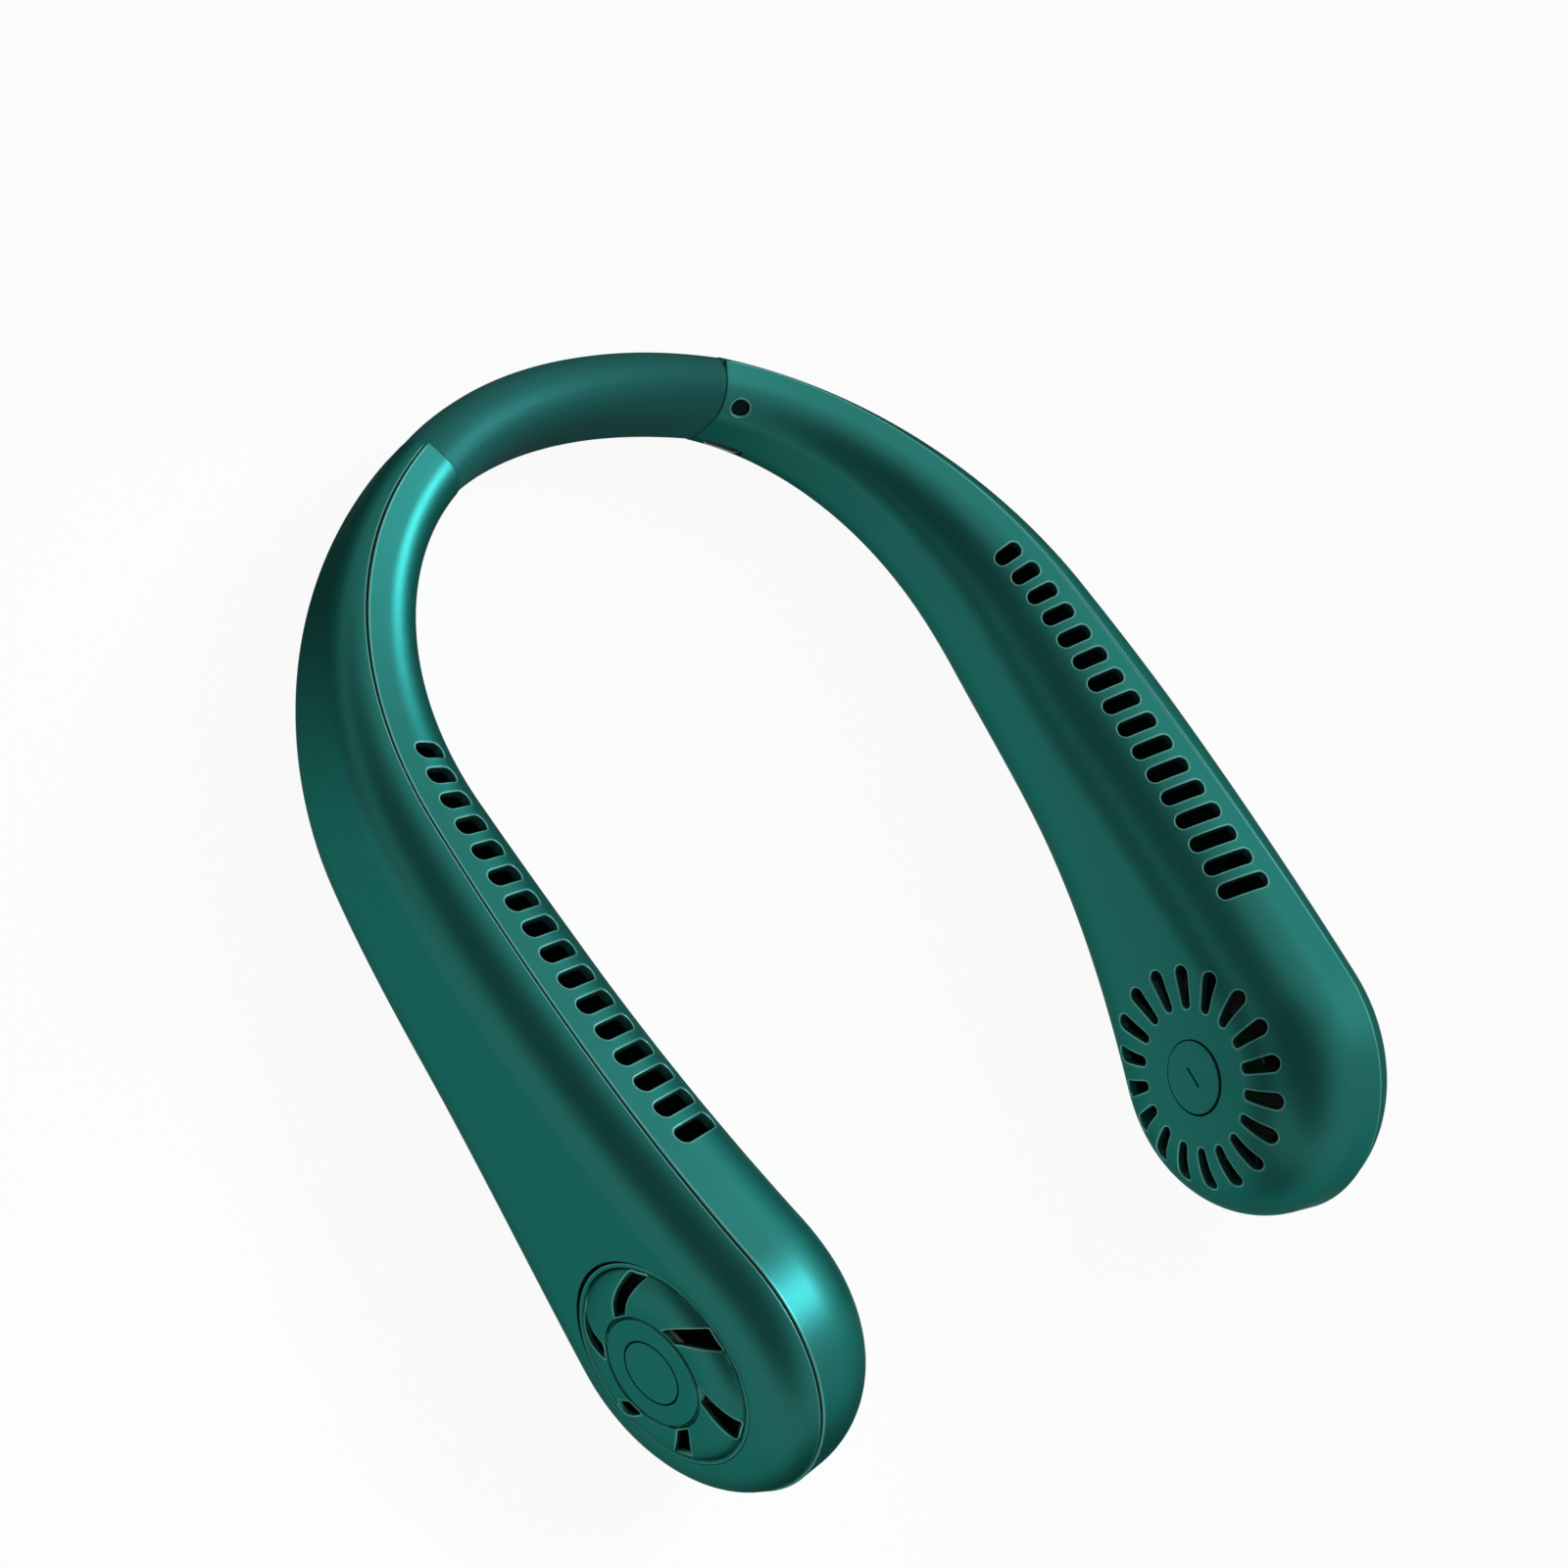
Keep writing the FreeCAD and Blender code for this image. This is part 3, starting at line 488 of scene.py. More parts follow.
def outlet_loops():
    """Rounded slots across the top band, each a little longer than the one before."""
    loops = []
    for share in np.linspace(0.0, 1.0, outlet_count):
        s = np.array(outlet_first + (outlet_last - outlet_first) * share)
        outer = outlet_outer_offset[0] + (outlet_outer_offset[1] - outlet_outer_offset[0]) * share
        inner = outer - outlet_length[0] - (outlet_length[1] - outlet_length[0]) * share
        low = around_at_offset(s, inner, -1)
        high = around_at_offset(s, outer, -1)
        loop = rounded_box(outlet_width, high - low, outlet_corner)
        loops.append(loop + [s - head_station, 0.5 * (low + high)])
    return loops


def intake_loops():
    """Ring of radial slots round the middle of the head's inner face."""
    slot = tapered_slot(*intake_radii, *intake_widths)
    return [turned(slot, 180.0 - intake_phase - 360.0 * k / intake_count) for k in range(intake_count)]


def inner_shell(name, right_arm):
    """Inner shell: outlets and intakes, and on the right arm the holes for the button, lens and port."""
    surface = arm_skin(-1)
    rim, fill = arm_pattern(-1)
    slots = [evenly(loop, slot_step) for loop in outlet_loops() + intake_loops()]
    holes = [Cut(slot, edge_softness, wall, shell_edge_highlight) for slot in slots]
    if right_arm:
        holes.append(Cut(circle(button_hole_radius), button_hole_softness, wall))
        flat, rounding, depth, middle = arm_section(np.array(lens_station), -1)
        spread = [neck_radius / (neck_radius - depth), 1.0]
        lens_at = [lens_station - head_station, flat + rounding * lens_tilt]
        lens = circle(lens_bore, lens_points) * spread + lens_at
        holes.append(Cut(lens, lens_softness, wall, shell_edge_highlight))
        port = evenly(rounded_box(*port_size, 0.45 * port_size[1]), slot_step) * spread
        port[:, 1] = around_at_height(port_station + port[:, 0], port_height + port[:, 1])
        holes.append(Cut(port + [port_station - head_station, 0.0], port_softness, wall))
    place = surface if right_arm else mirrored(surface)
    return cut_sheet(name, place, rim, holes, fill, 1 if right_arm else -1, shell_step)


def outer_cover(name, right_arm):
    """Outer cover: pattern with the round hole for the grille."""
    surface = arm_skin(1)
    rim, fill = arm_pattern(1)
    holes = [Cut(circle(grille_hole_radius, rim_points), ring_softness, wall)]
    place = surface if right_arm else mirrored(surface)
    return cut_sheet(name, place, rim, holes, fill, -1 if right_arm else 1, shell_step)


def on_head(height):
    """Surface over the head's own plane (towards the neck, up), at a height along the fan axis."""
    def surface(pattern):
        rise = height(np.hypot(*pattern.T))
        return (head_centre - head_forward * pattern[:, :1] + UP * pattern[:, 1:]
                + head_normal * rise[:, None])
    return surface


def grille_height(r):
    """Turned profile: flat hub with a fine line, a dome down to the trough, then the rim at the face.

    The dome is a parabola and a quarter ellipse, mixed by a fixed share."""
    hub_top = head_outer_depth + hub_rise
    foot = head_outer_depth - dome_sink
    rim_inner = rim_radius - rim_width
    run = rim_inner - hub_flat_radius
    drop = hub_top - foot
    x = np.clip((r - hub_flat_radius) / run, 0.0, 1.0)
    ellipse = 1 - np.sqrt(np.maximum(1 - x * x, 0.0))
    dome = hub_top - drop * (dome_parabola * x * x + (1 - dome_parabola) * ellipse)
    line = hub_line_depth * np.exp(-((r - hub_line_radius) / (0.5 * hub_line_width)) ** 2)
    rim = ease(r, rim_inner - 0.1, rim_inner + 0.1)
    return (dome - line) * (1 - rim) + head_outer_depth * rim


def grille_surface():
    """The turned profile, its rim lowered to the cover's face, an arc that falls away towards the neck."""
    profile = on_head(grille_height)
    face_radius = arm_radius + head_outer_depth

    def surface(pattern):
        fall = face_radius - np.sqrt(face_radius ** 2 - np.maximum(pattern[:, 0], 0.0) ** 2)
        share = ease(np.hypot(*pattern.T), hub_flat_radius, rim_radius - rim_width)
        return profile(pattern) - head_normal * (fall * share)[:, None]
    return surface


def gap_loops():
    """Spiral gaps: the middle angle grows with the radius, and so does the width."""
    share = np.linspace(0.0, 1.0, 12)
    radius = gap_radii[0] + (gap_radii[1] - gap_radii[0]) * share
    half = 0.5 * (gap_widths[0] + (gap_widths[1] - gap_widths[0]) * share) / radius
    loops = []
    for k in range(gap_count):
        middle = np.radians(gap_phase + 360.0 * k / gap_count + gap_sweep * share)
        left = radius[:, None] * np.stack([np.cos(middle - half), np.sin(middle - half)], 1)
        right = radius[:, None] * np.stack([np.cos(middle + half), np.sin(middle + half)], 1)
        loop = evenly(np.concatenate([left, right[::-1]]), gap_step)
        for _ in range(2):
            loop = 0.5 * loop + 0.25 * (np.roll(loop, 1, 0) + np.roll(loop, -1, 0))
        loops.append(loop)
    return loops


def rings(radii, spacing):
    """Points on circles of the given radii, at even steps round each."""
    return np.concatenate([circle(r, max(int(2 * np.pi * r / spacing), 6)) for r in radii])


def intake_grille(name, right_arm):
    """Grille: rim, dome and hub in one sheet with spiral gaps and the cap's recess."""
    line = hub_line_radius + hub_line_width * np.linspace(-1.2, 1.2, 9)
    foot = rim_radius - rim_width + np.linspace(-0.12, 0.12, 5)
    hub = np.arange(7.4, 10.9, 0.6)
    dome = np.arange(12.4, 19.9, 0.4)
    radii = np.concatenate([hub, line, dome, foot, [20.4]])
    holes = [Cut(loop, gap_softness, grille_thickness, gap_edge_highlight) for loop in gap_loops()]
    holes.append(Cut(circle(cap_hole_radius, disc_points), ring_softness, cap_thickness, floored=True))
    surface = grille_surface()
    place = surface if right_arm else mirrored(surface)
    sign = 1 if right_arm else -1
    rim = Cut(winding(circle(rim_radius, rim_points), True), ring_softness, rim_depth, rim_edge_highlight)
    return cut_sheet(name, place, rim, holes, rings(radii, grille_step), sign, 0.4 * grille_step)


def level(height):
    """A profile of the same height at every radius."""
    def flat_height(r):
        return np.full_like(r, height)
    return flat_height


def hub_cap(name, right_arm):
    """Disc let into the hub, with a softened edge."""
    surface = on_head(level(head_outer_depth + hub_rise))
    place = surface if right_arm else mirrored(surface)
    edge = winding(circle(cap_radius, disc_points), True)
    outline = Cut(edge, ring_softness, cap_thickness - cap_floor_gap)
    fill = rings(np.arange(1.0, 6.0, 1.0), disc_step)
    return cut_sheet(name, place, outline, [], fill, 1 if right_arm else -1, 0.4 * disc_step)


def power_button(name):
    """Round button with a softened edge and a short sunk bar."""
    surface = on_head(level(-head_inner_depth - button_proud))
    bar = turned(evenly(rounded_box(bar_length, bar_width, 0.45 * bar_width), bar_step), bar_turn)
    outline = Cut(winding(circle(button_radius, disc_points), True), button_softness, button_depth)
    fill = rings(np.arange(0.5, 7.2, 0.7), button_step)
    holes = [Cut(bar, bar_softness, bar_depth, floored=True)]
    return cut_sheet(name, surface, outline, holes, fill, -1, 2 * bar_step)


end_reach = (head_point - centre_line(np.array(sleeve_half_length))[0]) @ head_forward
end_middle = 0.5 * (top_height(end_reach) + bottom_height(end_reach))
end_height = top_height(end_reach) - bottom_height(end_reach)


def neck_middle(s):
    """Height of the neck's middle: a parabola, lowest behind the neck."""
    return 0.5 * sleeve_height + (end_middle - 0.5 * sleeve_height) * (s / sleeve_half_length) ** 2


def neck_sweep(name, reach, outline, stations, shrink, taper=0.0):
    """A section (sideways, up) carried along the neck, drawn in at both ends by a rounded edge, and closed.

    Its height falls by the taper towards the sleeve's ends, over the straight part of its sides."""
    s = np.linspace(-reach, reach, stations)
    s = np.sort(np.concatenate([s, [0.15 * shrink - reach, 0.5 * shrink - reach, shrink - reach],
                                [reach - 0.15 * shrink, reach - 0.5 * shrink, reach - shrink]]))
    near = np.clip((reach - np.abs(s)) / shrink, 0.0, 1.0)
    inset = shrink * (1 - np.sqrt(1 - (1 - near) ** 2))
    point, normal, forward = centre_line(np.abs(s))
    side = np.where(s < 0, -1.0, 1.0)[:, None]
    middle = np.stack([point[:, 0] * side[:, 0], point[:, 1], neck_middle(s)], 1)
    outward = normal * np.concatenate([side, np.ones_like(side), np.ones_like(side)], 1)
    right = right_of(outline)
    section = outline[None] - inset[:, None, None] * right[None]
    fall = 0.5 * taper * (s / sleeve_half_length) ** 2
    section[..., 1] -= fall[:, None] * np.clip(outline[:, 1] / sleeve_straight, -1.0, 1.0)
    points = (middle[:, None] + section[..., :1] * outward[:, None] + section[..., 1:] * UP).reshape(-1, 3)
    count = len(outline)
    rows = np.arange(len(s) - 1)[:, None] * count
    column = np.arange(count)[None]
    after = np.roll(np.arange(count), -1)[None]
    below = rows + count
    quads = np.stack([rows + column, rows + after, below + after, below + column], -1).reshape(-1, 4)
    ends = [np.arange(count)[::-1].tolist(), (np.arange(count) + rows[-1, 0] + count).tolist()]
    return mesh_object(name, points, quads.tolist() + ends)


def neck_sleeve():
    """Sleeve: a rounded box carried along the neck, a little lower at both ends."""
    section = winding(evenly(rounded_box(2 * sleeve_half_depth, sleeve_height, sleeve_rounding), 0.6))
    taper = sleeve_height - (end_height - 2 * sleeve_step)
    return neck_sweep("sleeve_skin", sleeve_reach, section, 100, sleeve_edge, taper)


# Materials


def moulded_group():
    """Node group for moulded skins: fine grain for roughness and bump, and a faint drift of colour."""
    group = bpy.data.node_groups.new("moulded_grain", "ShaderNodeTree")
    sockets = group.interface
    sockets.new_socket("Colour", in_out="INPUT", socket_type="NodeSocketColor")
    sockets.new_socket("Roughness", in_out="INPUT", socket_type="NodeSocketFloat")
    sockets.new_socket("Grain Scale", in_out="INPUT", socket_type="NodeSocketFloat")
    sockets.new_socket("Drift", in_out="INPUT", socket_type="NodeSocketFloat")
    sockets.new_socket("Colour", in_out="OUTPUT", socket_type="NodeSocketColor")
    sockets.new_socket("Roughness", in_out="OUTPUT", socket_type="NodeSocketFloat")
    sockets.new_socket("Height", in_out="OUTPUT", socket_type="NodeSocketFloat")
    nodes = group.nodes
    links = group.links
    given = nodes.new("NodeGroupInput")
    result = nodes.new("NodeGroupOutput")
    coords = nodes.new("ShaderNodeTexCoord")
    grain = nodes.new("ShaderNodeTexNoise")
    grain.inputs["Detail"].default_value = 3.0
    drift = nodes.new("ShaderNodeTexNoise")
    drift.inputs["Scale"].default_value = 35.0
    drift.inputs["Detail"].default_value = 2.0
    links.new(coords.outputs["Object"], grain.inputs["Vector"])
    links.new(coords.outputs["Object"], drift.inputs["Vector"])
    links.new(given.outputs["Grain Scale"], grain.inputs["Scale"])
    centred = nodes.new("ShaderNodeMath")
    centred.operation = "SUBTRACT"
    centred.inputs[1].default_value = 0.5
    links.new(drift.outputs["Fac"], centred.inputs[0])
    amount = nodes.new("ShaderNodeMath")
    amount.operation = "MULTIPLY_ADD"
    amount.inputs[2].default_value = 1.0
    links.new(centred.outputs[0], amount.inputs[0])
    links.new(given.outputs["Drift"], amount.inputs[1])
    shade = nodes.new("ShaderNodeHueSaturation")
    links.new(given.outputs["Colour"], shade.inputs["Color"])
    links.new(amount.outputs[0], shade.inputs["Value"])
    speck = nodes.new("ShaderNodeMath")
    speck.operation = "MULTIPLY_ADD"
    speck.inputs[1].default_value = 0.08
    links.new(grain.outputs["Fac"], speck.inputs[0])
    links.new(given.outputs["Roughness"], speck.inputs[2])
    links.new(shade.outputs["Color"], result.inputs["Colour"])
    links.new(speck.outputs[0], result.inputs["Roughness"])
    links.new(grain.outputs["Fac"], result.inputs["Height"])
    return group


def edge_group():
    """Node group for a painted highlight on edges: a paler colour where the mask "edge" is set."""
    group = bpy.data.node_groups.new("painted_edge_highlight", "ShaderNodeTree")
    group.interface.new_socket("Colour", in_out="INPUT", socket_type="NodeSocketColor")
    group.interface.new_socket("Edge Colour", in_out="INPUT", socket_type="NodeSocketColor")
    group.interface.new_socket("Colour", in_out="OUTPUT", socket_type="NodeSocketColor")
    given = group.nodes.new("NodeGroupInput")
    result = group.nodes.new("NodeGroupOutput")
    mask = group.nodes.new("ShaderNodeAttribute")
    mask.attribute_name = "edge"
    mix = group.nodes.new("ShaderNodeMix")
    mix.data_type = "RGBA"
    group.links.new(mask.outputs["Fac"], mix.inputs[0])
    group.links.new(given.outputs["Colour"], mix.inputs[6])
    group.links.new(given.outputs["Edge Colour"], mix.inputs[7])
    group.links.new(mix.outputs[2], result.inputs["Colour"])
    return group


MOULDED = moulded_group()
EDGE_HIGHLIGHT_GROUP = edge_group()


def finish_of(name, colour, roughness, metallic=0.0, grain=1800.0, drift=0.12, relief=0.02, specular=0.5,
              tint=(1.0, 1.0, 1.0), edge=None):
    """A procedural finish: the grain drives colour, roughness and a shallow bump, and edges may carry a
    paler colour, a painted highlight.
    """
    material = bpy.data.materials.new(name)
    material.use_nodes = True
    nodes = material.node_tree.nodes
    links = material.node_tree.links
    shader = nodes["Principled BSDF"]
    shader.inputs["Metallic"].default_value = metallic
    shader.inputs["Specular IOR Level"].default_value = specular
    shader.inputs["Specular Tint"].default_value = (*tint, 1.0)
    skin = nodes.new("ShaderNodeGroup")
    skin.node_tree = MOULDED
    skin.inputs["Colour"].default_value = (*colour, 1.0)
    skin.inputs["Roughness"].default_value = roughness
    skin.inputs["Grain Scale"].default_value = grain
    skin.inputs["Drift"].default_value = drift
    bump = nodes.new("ShaderNodeBump")
    bump.inputs["Strength"].default_value = relief
    bump.inputs["Distance"].default_value = 0.0002
    coloured = skin
    # A paler edge colour is a painted highlight on the rounded edges
    if edge:
        coloured = nodes.new("ShaderNodeGroup")
        coloured.node_tree = EDGE_HIGHLIGHT_GROUP
        coloured.inputs["Edge Colour"].default_value = (*edge, 1.0)
        links.new(skin.outputs["Colour"], coloured.inputs["Colour"])
    links.new(coloured.outputs["Colour"], shader.inputs["Base Color"])
    links.new(skin.outputs["Roughness"], shader.inputs["Roughness"])
    links.new(skin.outputs["Height"], bump.inputs["Height"])
    links.new(bump.outputs["Normal"], shader.inputs["Normal"])
    return material


EDGE_TINT = (0.06, 0.34, 0.32)
# Paler colour painted on the shells' rounded edges as a highlight
HIGHLIGHT_TEAL = (0.11, 0.31, 0.27)
FINISHES = {
    "shell": finish_of("teal_satin", (0.019, 0.142, 0.119), 0.36, metallic=0.9, drift=0.06, specular=0.25,
                       tint=EDGE_TINT, edge=HIGHLIGHT_TEAL),
    "hub_cap": finish_of("teal_satin_cap", (0.021, 0.15, 0.126), 0.38, metallic=0.9, drift=0.06,
                         specular=0.25, tint=EDGE_TINT, edge=HIGHLIGHT_TEAL),
    "sleeve": finish_of("teal_silicone", (0.017, 0.112, 0.097), 0.5, metallic=0.5, grain=900.0, relief=0.05,
                        specular=0.1, tint=EDGE_TINT),
    "white_plastic": finish_of("motor_white", (0.55, 0.55, 0.52), 0.45),
    "dark_plastic": finish_of("fan_black", (0.012, 0.013, 0.014), 0.5),
    "steel": finish_of("plated_steel", (0.55, 0.55, 0.56), 0.28, metallic=1.0),
    "spring_steel": finish_of("blued_strip", (0.2, 0.22, 0.26), 0.3, metallic=1.0),
    "rotor_steel": finish_of("drawn_can", (0.2, 0.2, 0.205), 0.4, metallic=1.0),
    "magnet": finish_of("bonded_magnet", (0.06, 0.06, 0.065), 0.6),
    "brass": finish_of("sintered_bush", (0.55, 0.36, 0.12), 0.4, metallic=1.0),
    "stator": finish_of("wound_core", (0.45, 0.16, 0.05), 0.4, metallic=0.6, grain=2600.0, relief=0.3),
    "board": finish_of("solder_mask", (0.01, 0.12, 0.04), 0.35, drift=0.4),
    "cell_foil": finish_of("pouch_foil", (0.6, 0.6, 0.62), 0.35, metallic=0.9, relief=0.15),
    "foam": finish_of("open_foam", (0.03, 0.03, 0.03), 0.9, grain=1200.0, relief=0.6),
    "lens": finish_of("smoked_lens", (0.002, 0.008, 0.01), 0.25, specular=0.15, tint=EDGE_TINT),
    "cable": finish_of("cable_jacket", (0.01, 0.01, 0.011), 0.5),
}


def dress(piece, slot, body, *nodes):
    """Gives a piece its finish, the body it rides on and the solids it stands for."""
    piece.data.materials.append(FINISHES[slot])
    if body:
        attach(piece, body)
    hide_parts(*nodes)
    return piece


for entry in frame["record"]["subparts"]:
    solid = frame["nodes"][entry["node"]]
    solid.data.materials.clear()
    solid.data.materials.append(FINISHES[entry["material_slot"]])

for arm in ("right", "left"):
    right = arm == "right"
    body = arm + "_arm"
    dress(inner_shell(arm + "_inner_skin", right), "shell", body, arm + "_inner_shell")
    dress(outer_cover(arm + "_outer_skin", right), "shell", body, arm + "_outer_cover")
    dress(intake_grille(arm + "_grille", right), "shell", body, arm + "_intake_grille")
    dress(hub_cap(arm + "_cap", right), "hub_cap", body, arm + "_hub_cap")
dress(power_button("button_cap"), "shell", "button", "power_button")

strip_outline = winding(evenly(rounded_box(2 * spine_size[0], spine_size[1], 0.2), 0.25))
lead_outline = circle(cable_radius, 24) + [cable_shift, 0.0]
neck_pieces = [
    (neck_sleeve(), "sleeve", "neck_sleeve"),
    (neck_sweep("strip", spine_reach, strip_outline, 60, 0.1), "spring_steel", "neck_spine"),
    (neck_sweep("lead", cable_reach, lead_outline, 60, 0.1), "cable", "neck_cable"),
]
for piece, slot, node in neck_pieces:
    dress(piece, slot, None, node)
    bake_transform(piece)


# Floor, light and camera

FLOOR_REACH = 20000.0
FLOOR_WHITE = 0.93
WORLD_LEVEL = 0.5
CARD_PALE = 0.95
WALL_DARK = 0.15
WALL_RADIUS = 1400.0
SHADE_DARK = 0.2
SHADE_REACH = 400.0
SHADE_HEIGHT = 0.3
SOFTBOXES = {
    "key_softbox": dict(place=(1050.0, 150.0, 1000.0), aim=(0.0, 0.0, 30.0), size=(1200.0, 900.0), power=3.4,
                        colour=(0.9, 1.0, 1.1)),
    "head_softbox": dict(place=(130.0, -113.0, 344.0), aim=(-79.0, -84.0, 64.0), size=(160.0, 110.0),
                         power=0.044, colour=(0.75, 1.0, 1.25), spread=36.0),
    "neck_softbox": dict(place=(122.0, 108.0, 132.0), aim=(-47.0, 91.0, 27.0), size=(60.0, 60.0),
                         power=0.0095, colour=(0.75, 1.0, 1.2), spread=32.0),
    "back_strip": dict(place=(180.0, 853.0, 896.0), aim=(-77.0, 60.0, 33.0), size=(600.0, 120.0), power=0.4,
                       colour=(0.9, 1.0, 0.95)),
}
CAMERA_PLACE = np.array([-470.06, -201.05 + back_of_neck, 623.06])
CAMERA_BACK = np.array([-0.61444, -0.13649, 0.77707])
CAMERA_UP = np.array([0.27667, 0.88510, 0.37423])
CAMERA_LENS = 86.41
SENSOR_WIDTH = 36.0


def backdrop_mix(tree, background, lit, weight):
    """Shows the plain white to camera, glossy and transmitted rays, by weight, over the lit result."""
    path = tree.nodes.new("ShaderNodeLightPath")
    seen = tree.nodes.new("ShaderNodeMath")
    seen.operation = "MAXIMUM"
    tree.links.new(path.outputs["Is Camera Ray"], seen.inputs[0])
    tree.links.new(path.outputs["Is Glossy Ray"], seen.inputs[1])
    clear = tree.nodes.new("ShaderNodeMath")
    clear.operation = "MAXIMUM"
    tree.links.new(seen.outputs[0], clear.inputs[0])
    tree.links.new(path.outputs["Is Transmission Ray"], clear.inputs[1])
    part = tree.nodes.new("ShaderNodeMath")
    part.operation = "MULTIPLY"
    part.inputs[1].default_value = weight
    tree.links.new(clear.outputs[0], part.inputs[0])
    mix = tree.nodes.new("ShaderNodeMixShader")
    tree.links.new(part.outputs[0], mix.inputs["Fac"])
    tree.links.new(lit, mix.inputs[1])
    tree.links.new(background, mix.inputs[2])
    return mix.outputs["Shader"]


def make_floor():
    """Wide pale floor that keeps the object's shadow."""
    material = bpy.data.materials.new("white_floor")
    material.use_nodes = True
    tree = material.node_tree
    shader = tree.nodes["Principled BSDF"]
    shader.inputs["Base Color"].default_value = (0.9, 0.9, 0.9, 1.0)
    shader.inputs["Roughness"].default_value = 0.9
    glow = tree.nodes.new("ShaderNodeEmission")
    mixed = backdrop_mix(tree, glow.outputs["Emission"], shader.outputs["BSDF"], FLOOR_WHITE)
    tree.links.new(mixed, tree.nodes["Material Output"].inputs["Surface"])
    corners = FLOOR_REACH * np.array([[-1, -1, 0], [1, -1, 0], [1, 1, 0], [-1, 1, 0]])
    floor = mesh_object("floor", corners, [[0, 1, 2, 3]])
    floor.data.materials.append(material)


def make_world():
    """White to the camera and in reflections, over a plain level of light."""
    world = bpy.data.worlds.new("studio")
    bpy.context.scene.world = world
    world.use_nodes = True
    tree = world.node_tree
    dim = tree.nodes["Background"]
    dim.inputs["Color"].default_value = (1.0, 1.0, 1.0, 1.0)
    dim.inputs["Strength"].default_value = WORLD_LEVEL
    white = tree.nodes.new("ShaderNodeBackground")
    white.inputs["Color"].default_value = (1.0, 1.0, 1.0, 1.0)
    mixed = backdrop_mix(tree, white.outputs["Background"], dim.outputs["Background"], 1.0)
    tree.links.new(mixed, tree.nodes["World Output"].inputs["Surface"])


def grid_faces(rows, columns):
    """Quads between neighbouring points of a grid that is numbered row by row."""
    start = (np.arange(rows - 1)[:, None] * columns + np.arange(columns - 1)).ravel()
    return np.stack([start, start + 1, start + columns + 1, start + columns], 1).tolist()


def reflected_card(name, points, faces, glow):
    """A grey studio surface that only reflections meet, for the rounded edges to mirror."""
    material = bpy.data.materials.new(name)
    material.use_nodes = True
    tree = material.node_tree
    brightness = tree.nodes.new("ShaderNodeAttribute")
    brightness.attribute_name = "glow"
    light = tree.nodes.new("ShaderNodeEmission")
    tree.links.new(brightness.outputs["Fac"], light.inputs["Strength"])
    tree.links.new(light.outputs["Emission"], tree.nodes["Material Output"].inputs["Surface"])
    card = mesh_object(name, points, faces, glow=glow)
    card.data.materials.append(material)
    card.visible_camera = False
    card.visible_diffuse = False
    card.visible_shadow = False


def studio_wall():
    """Part of a sphere over the left arm, from the floor to overhead: dark, with a pale rim."""
    turn = np.linspace(90.0, 272.0, 61)
    lift = np.linspace(7.0, 89.0, 33)
    across, upward = np.meshgrid(np.radians(turn), np.radians(lift))
    reach = np.cos(upward)
    points = WALL_RADIUS * np.stack([reach * np.cos(across), reach * np.sin(across), np.sin(upward)], -1)
    sides = ease(turn, 95.0, 125.0) * (1 - ease(turn, 235.0, 270.0))
    heights = ease(lift, 8.0, 18.0) * (1 - 0.35 * ease(lift, 60.0, 85.0))
    glow = CARD_PALE - (CARD_PALE - WALL_DARK) * np.outer(heights, sides)
    reflected_card("studio_wall", points.reshape(-1, 3), grid_faces(len(lift), len(turn)), glow.ravel())


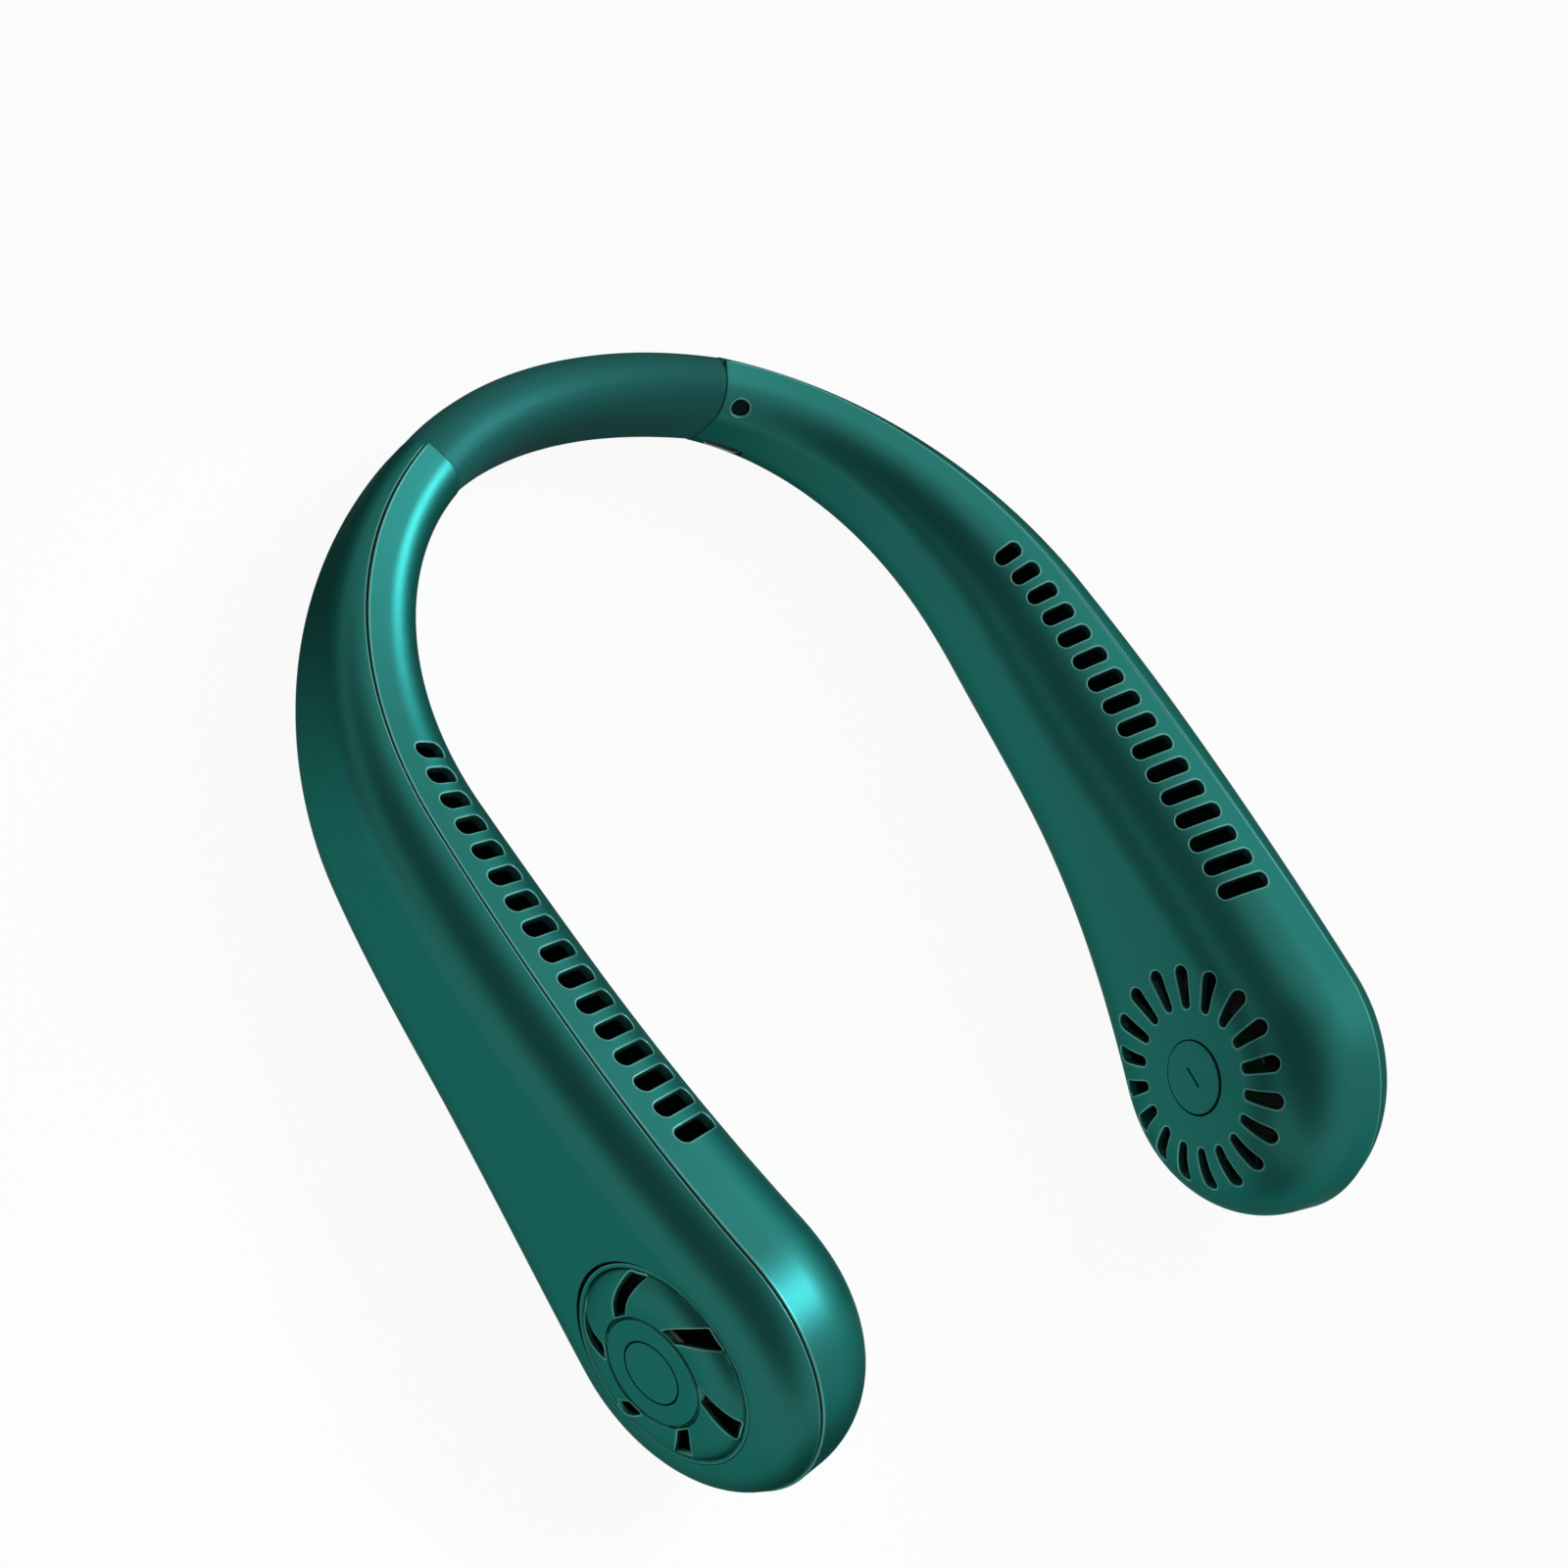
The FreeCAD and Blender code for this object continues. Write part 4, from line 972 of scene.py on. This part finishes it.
def studio_floor():
    """What the floor shows in reflections: pale, with painted shade where the object's shadow falls, behind,
    in front and inside the left arm.
    """
    steps = np.linspace(-SHADE_REACH, SHADE_REACH, 81)
    x, y = np.meshgrid(steps, steps)
    # Painted shadow of the object on the floor close to it, seen only in reflections
    behind = ease(y, 30.0, 110.0)
    before = (1 - ease(y, -150.0, -112.0)) * ease(x, -95.0, -45.0) * (1 - ease(x, 30.0, 75.0))
    inside = ease(x, -88.0, -70.0) * (1 - ease(x, -15.0, 25.0))
    dark = 1 - (1 - behind) * (1 - before) * (1 - inside)
    glow = CARD_PALE - (CARD_PALE - SHADE_DARK) * dark
    points = np.stack([x, y, np.full_like(x, SHADE_HEIGHT)], -1).reshape(-1, 3)
    reflected_card("studio_floor", points, grid_faces(len(steps), len(steps)), glow.ravel())


def softbox(name, place, aim, size, power, colour, spread=180.0):
    """An area lamp at a place in millimetres, turned to face a point, and gridded to its spread."""
    lamp = bpy.data.lights.new(name, "AREA")
    lamp.shape = "RECTANGLE"
    lamp.size = size[0] * MM
    lamp.size_y = size[1] * MM
    lamp.energy = power
    lamp.color = colour
    lamp.spread = np.radians(spread)
    holder = bpy.data.objects.new(name, lamp)
    holder.visible_camera = False
    bpy.context.scene.collection.objects.link(holder)
    holder.matrix_world = facing_pose(place, aim)


def facing_pose(place, aim):
    """Matrix of an object at a place in millimetres whose Z axis points away from the aim."""
    back = np.array(place, float) - np.array(aim, float)
    back /= np.linalg.norm(back)
    across = np.cross(UP, back)
    across /= np.linalg.norm(across)
    return pose(across, np.cross(back, across), back, place)


def pose(across, upward, back, place):
    """Matrix of an object whose X, Y and Z axes point the given ways, at a place in millimetres."""
    matrix = np.eye(4)
    matrix[:3, :3] = np.stack([across, upward, back], 1)
    matrix[:3, 3] = np.array(place) * MM
    return Matrix(matrix.tolist())


def make_camera():
    """Camera at the photograph's viewpoint: above the left arm, rolled so that the bow is at the top."""
    data = bpy.data.cameras.new("camera")
    data.sensor_width = SENSOR_WIDTH
    data.lens = CAMERA_LENS
    data.clip_start = 0.05
    data.clip_end = 100.0
    camera = bpy.data.objects.new("camera", data)
    bpy.context.scene.collection.objects.link(camera)
    camera.matrix_world = pose(np.cross(CAMERA_UP, CAMERA_BACK), CAMERA_UP, CAMERA_BACK, CAMERA_PLACE)
    bpy.context.scene.camera = camera


make_floor()
make_world()
for name, settings in SOFTBOXES.items():
    softbox(name, **settings)
studio_wall()
studio_floor()
make_camera()
bpy.context.scene.view_settings.view_transform = "Standard"
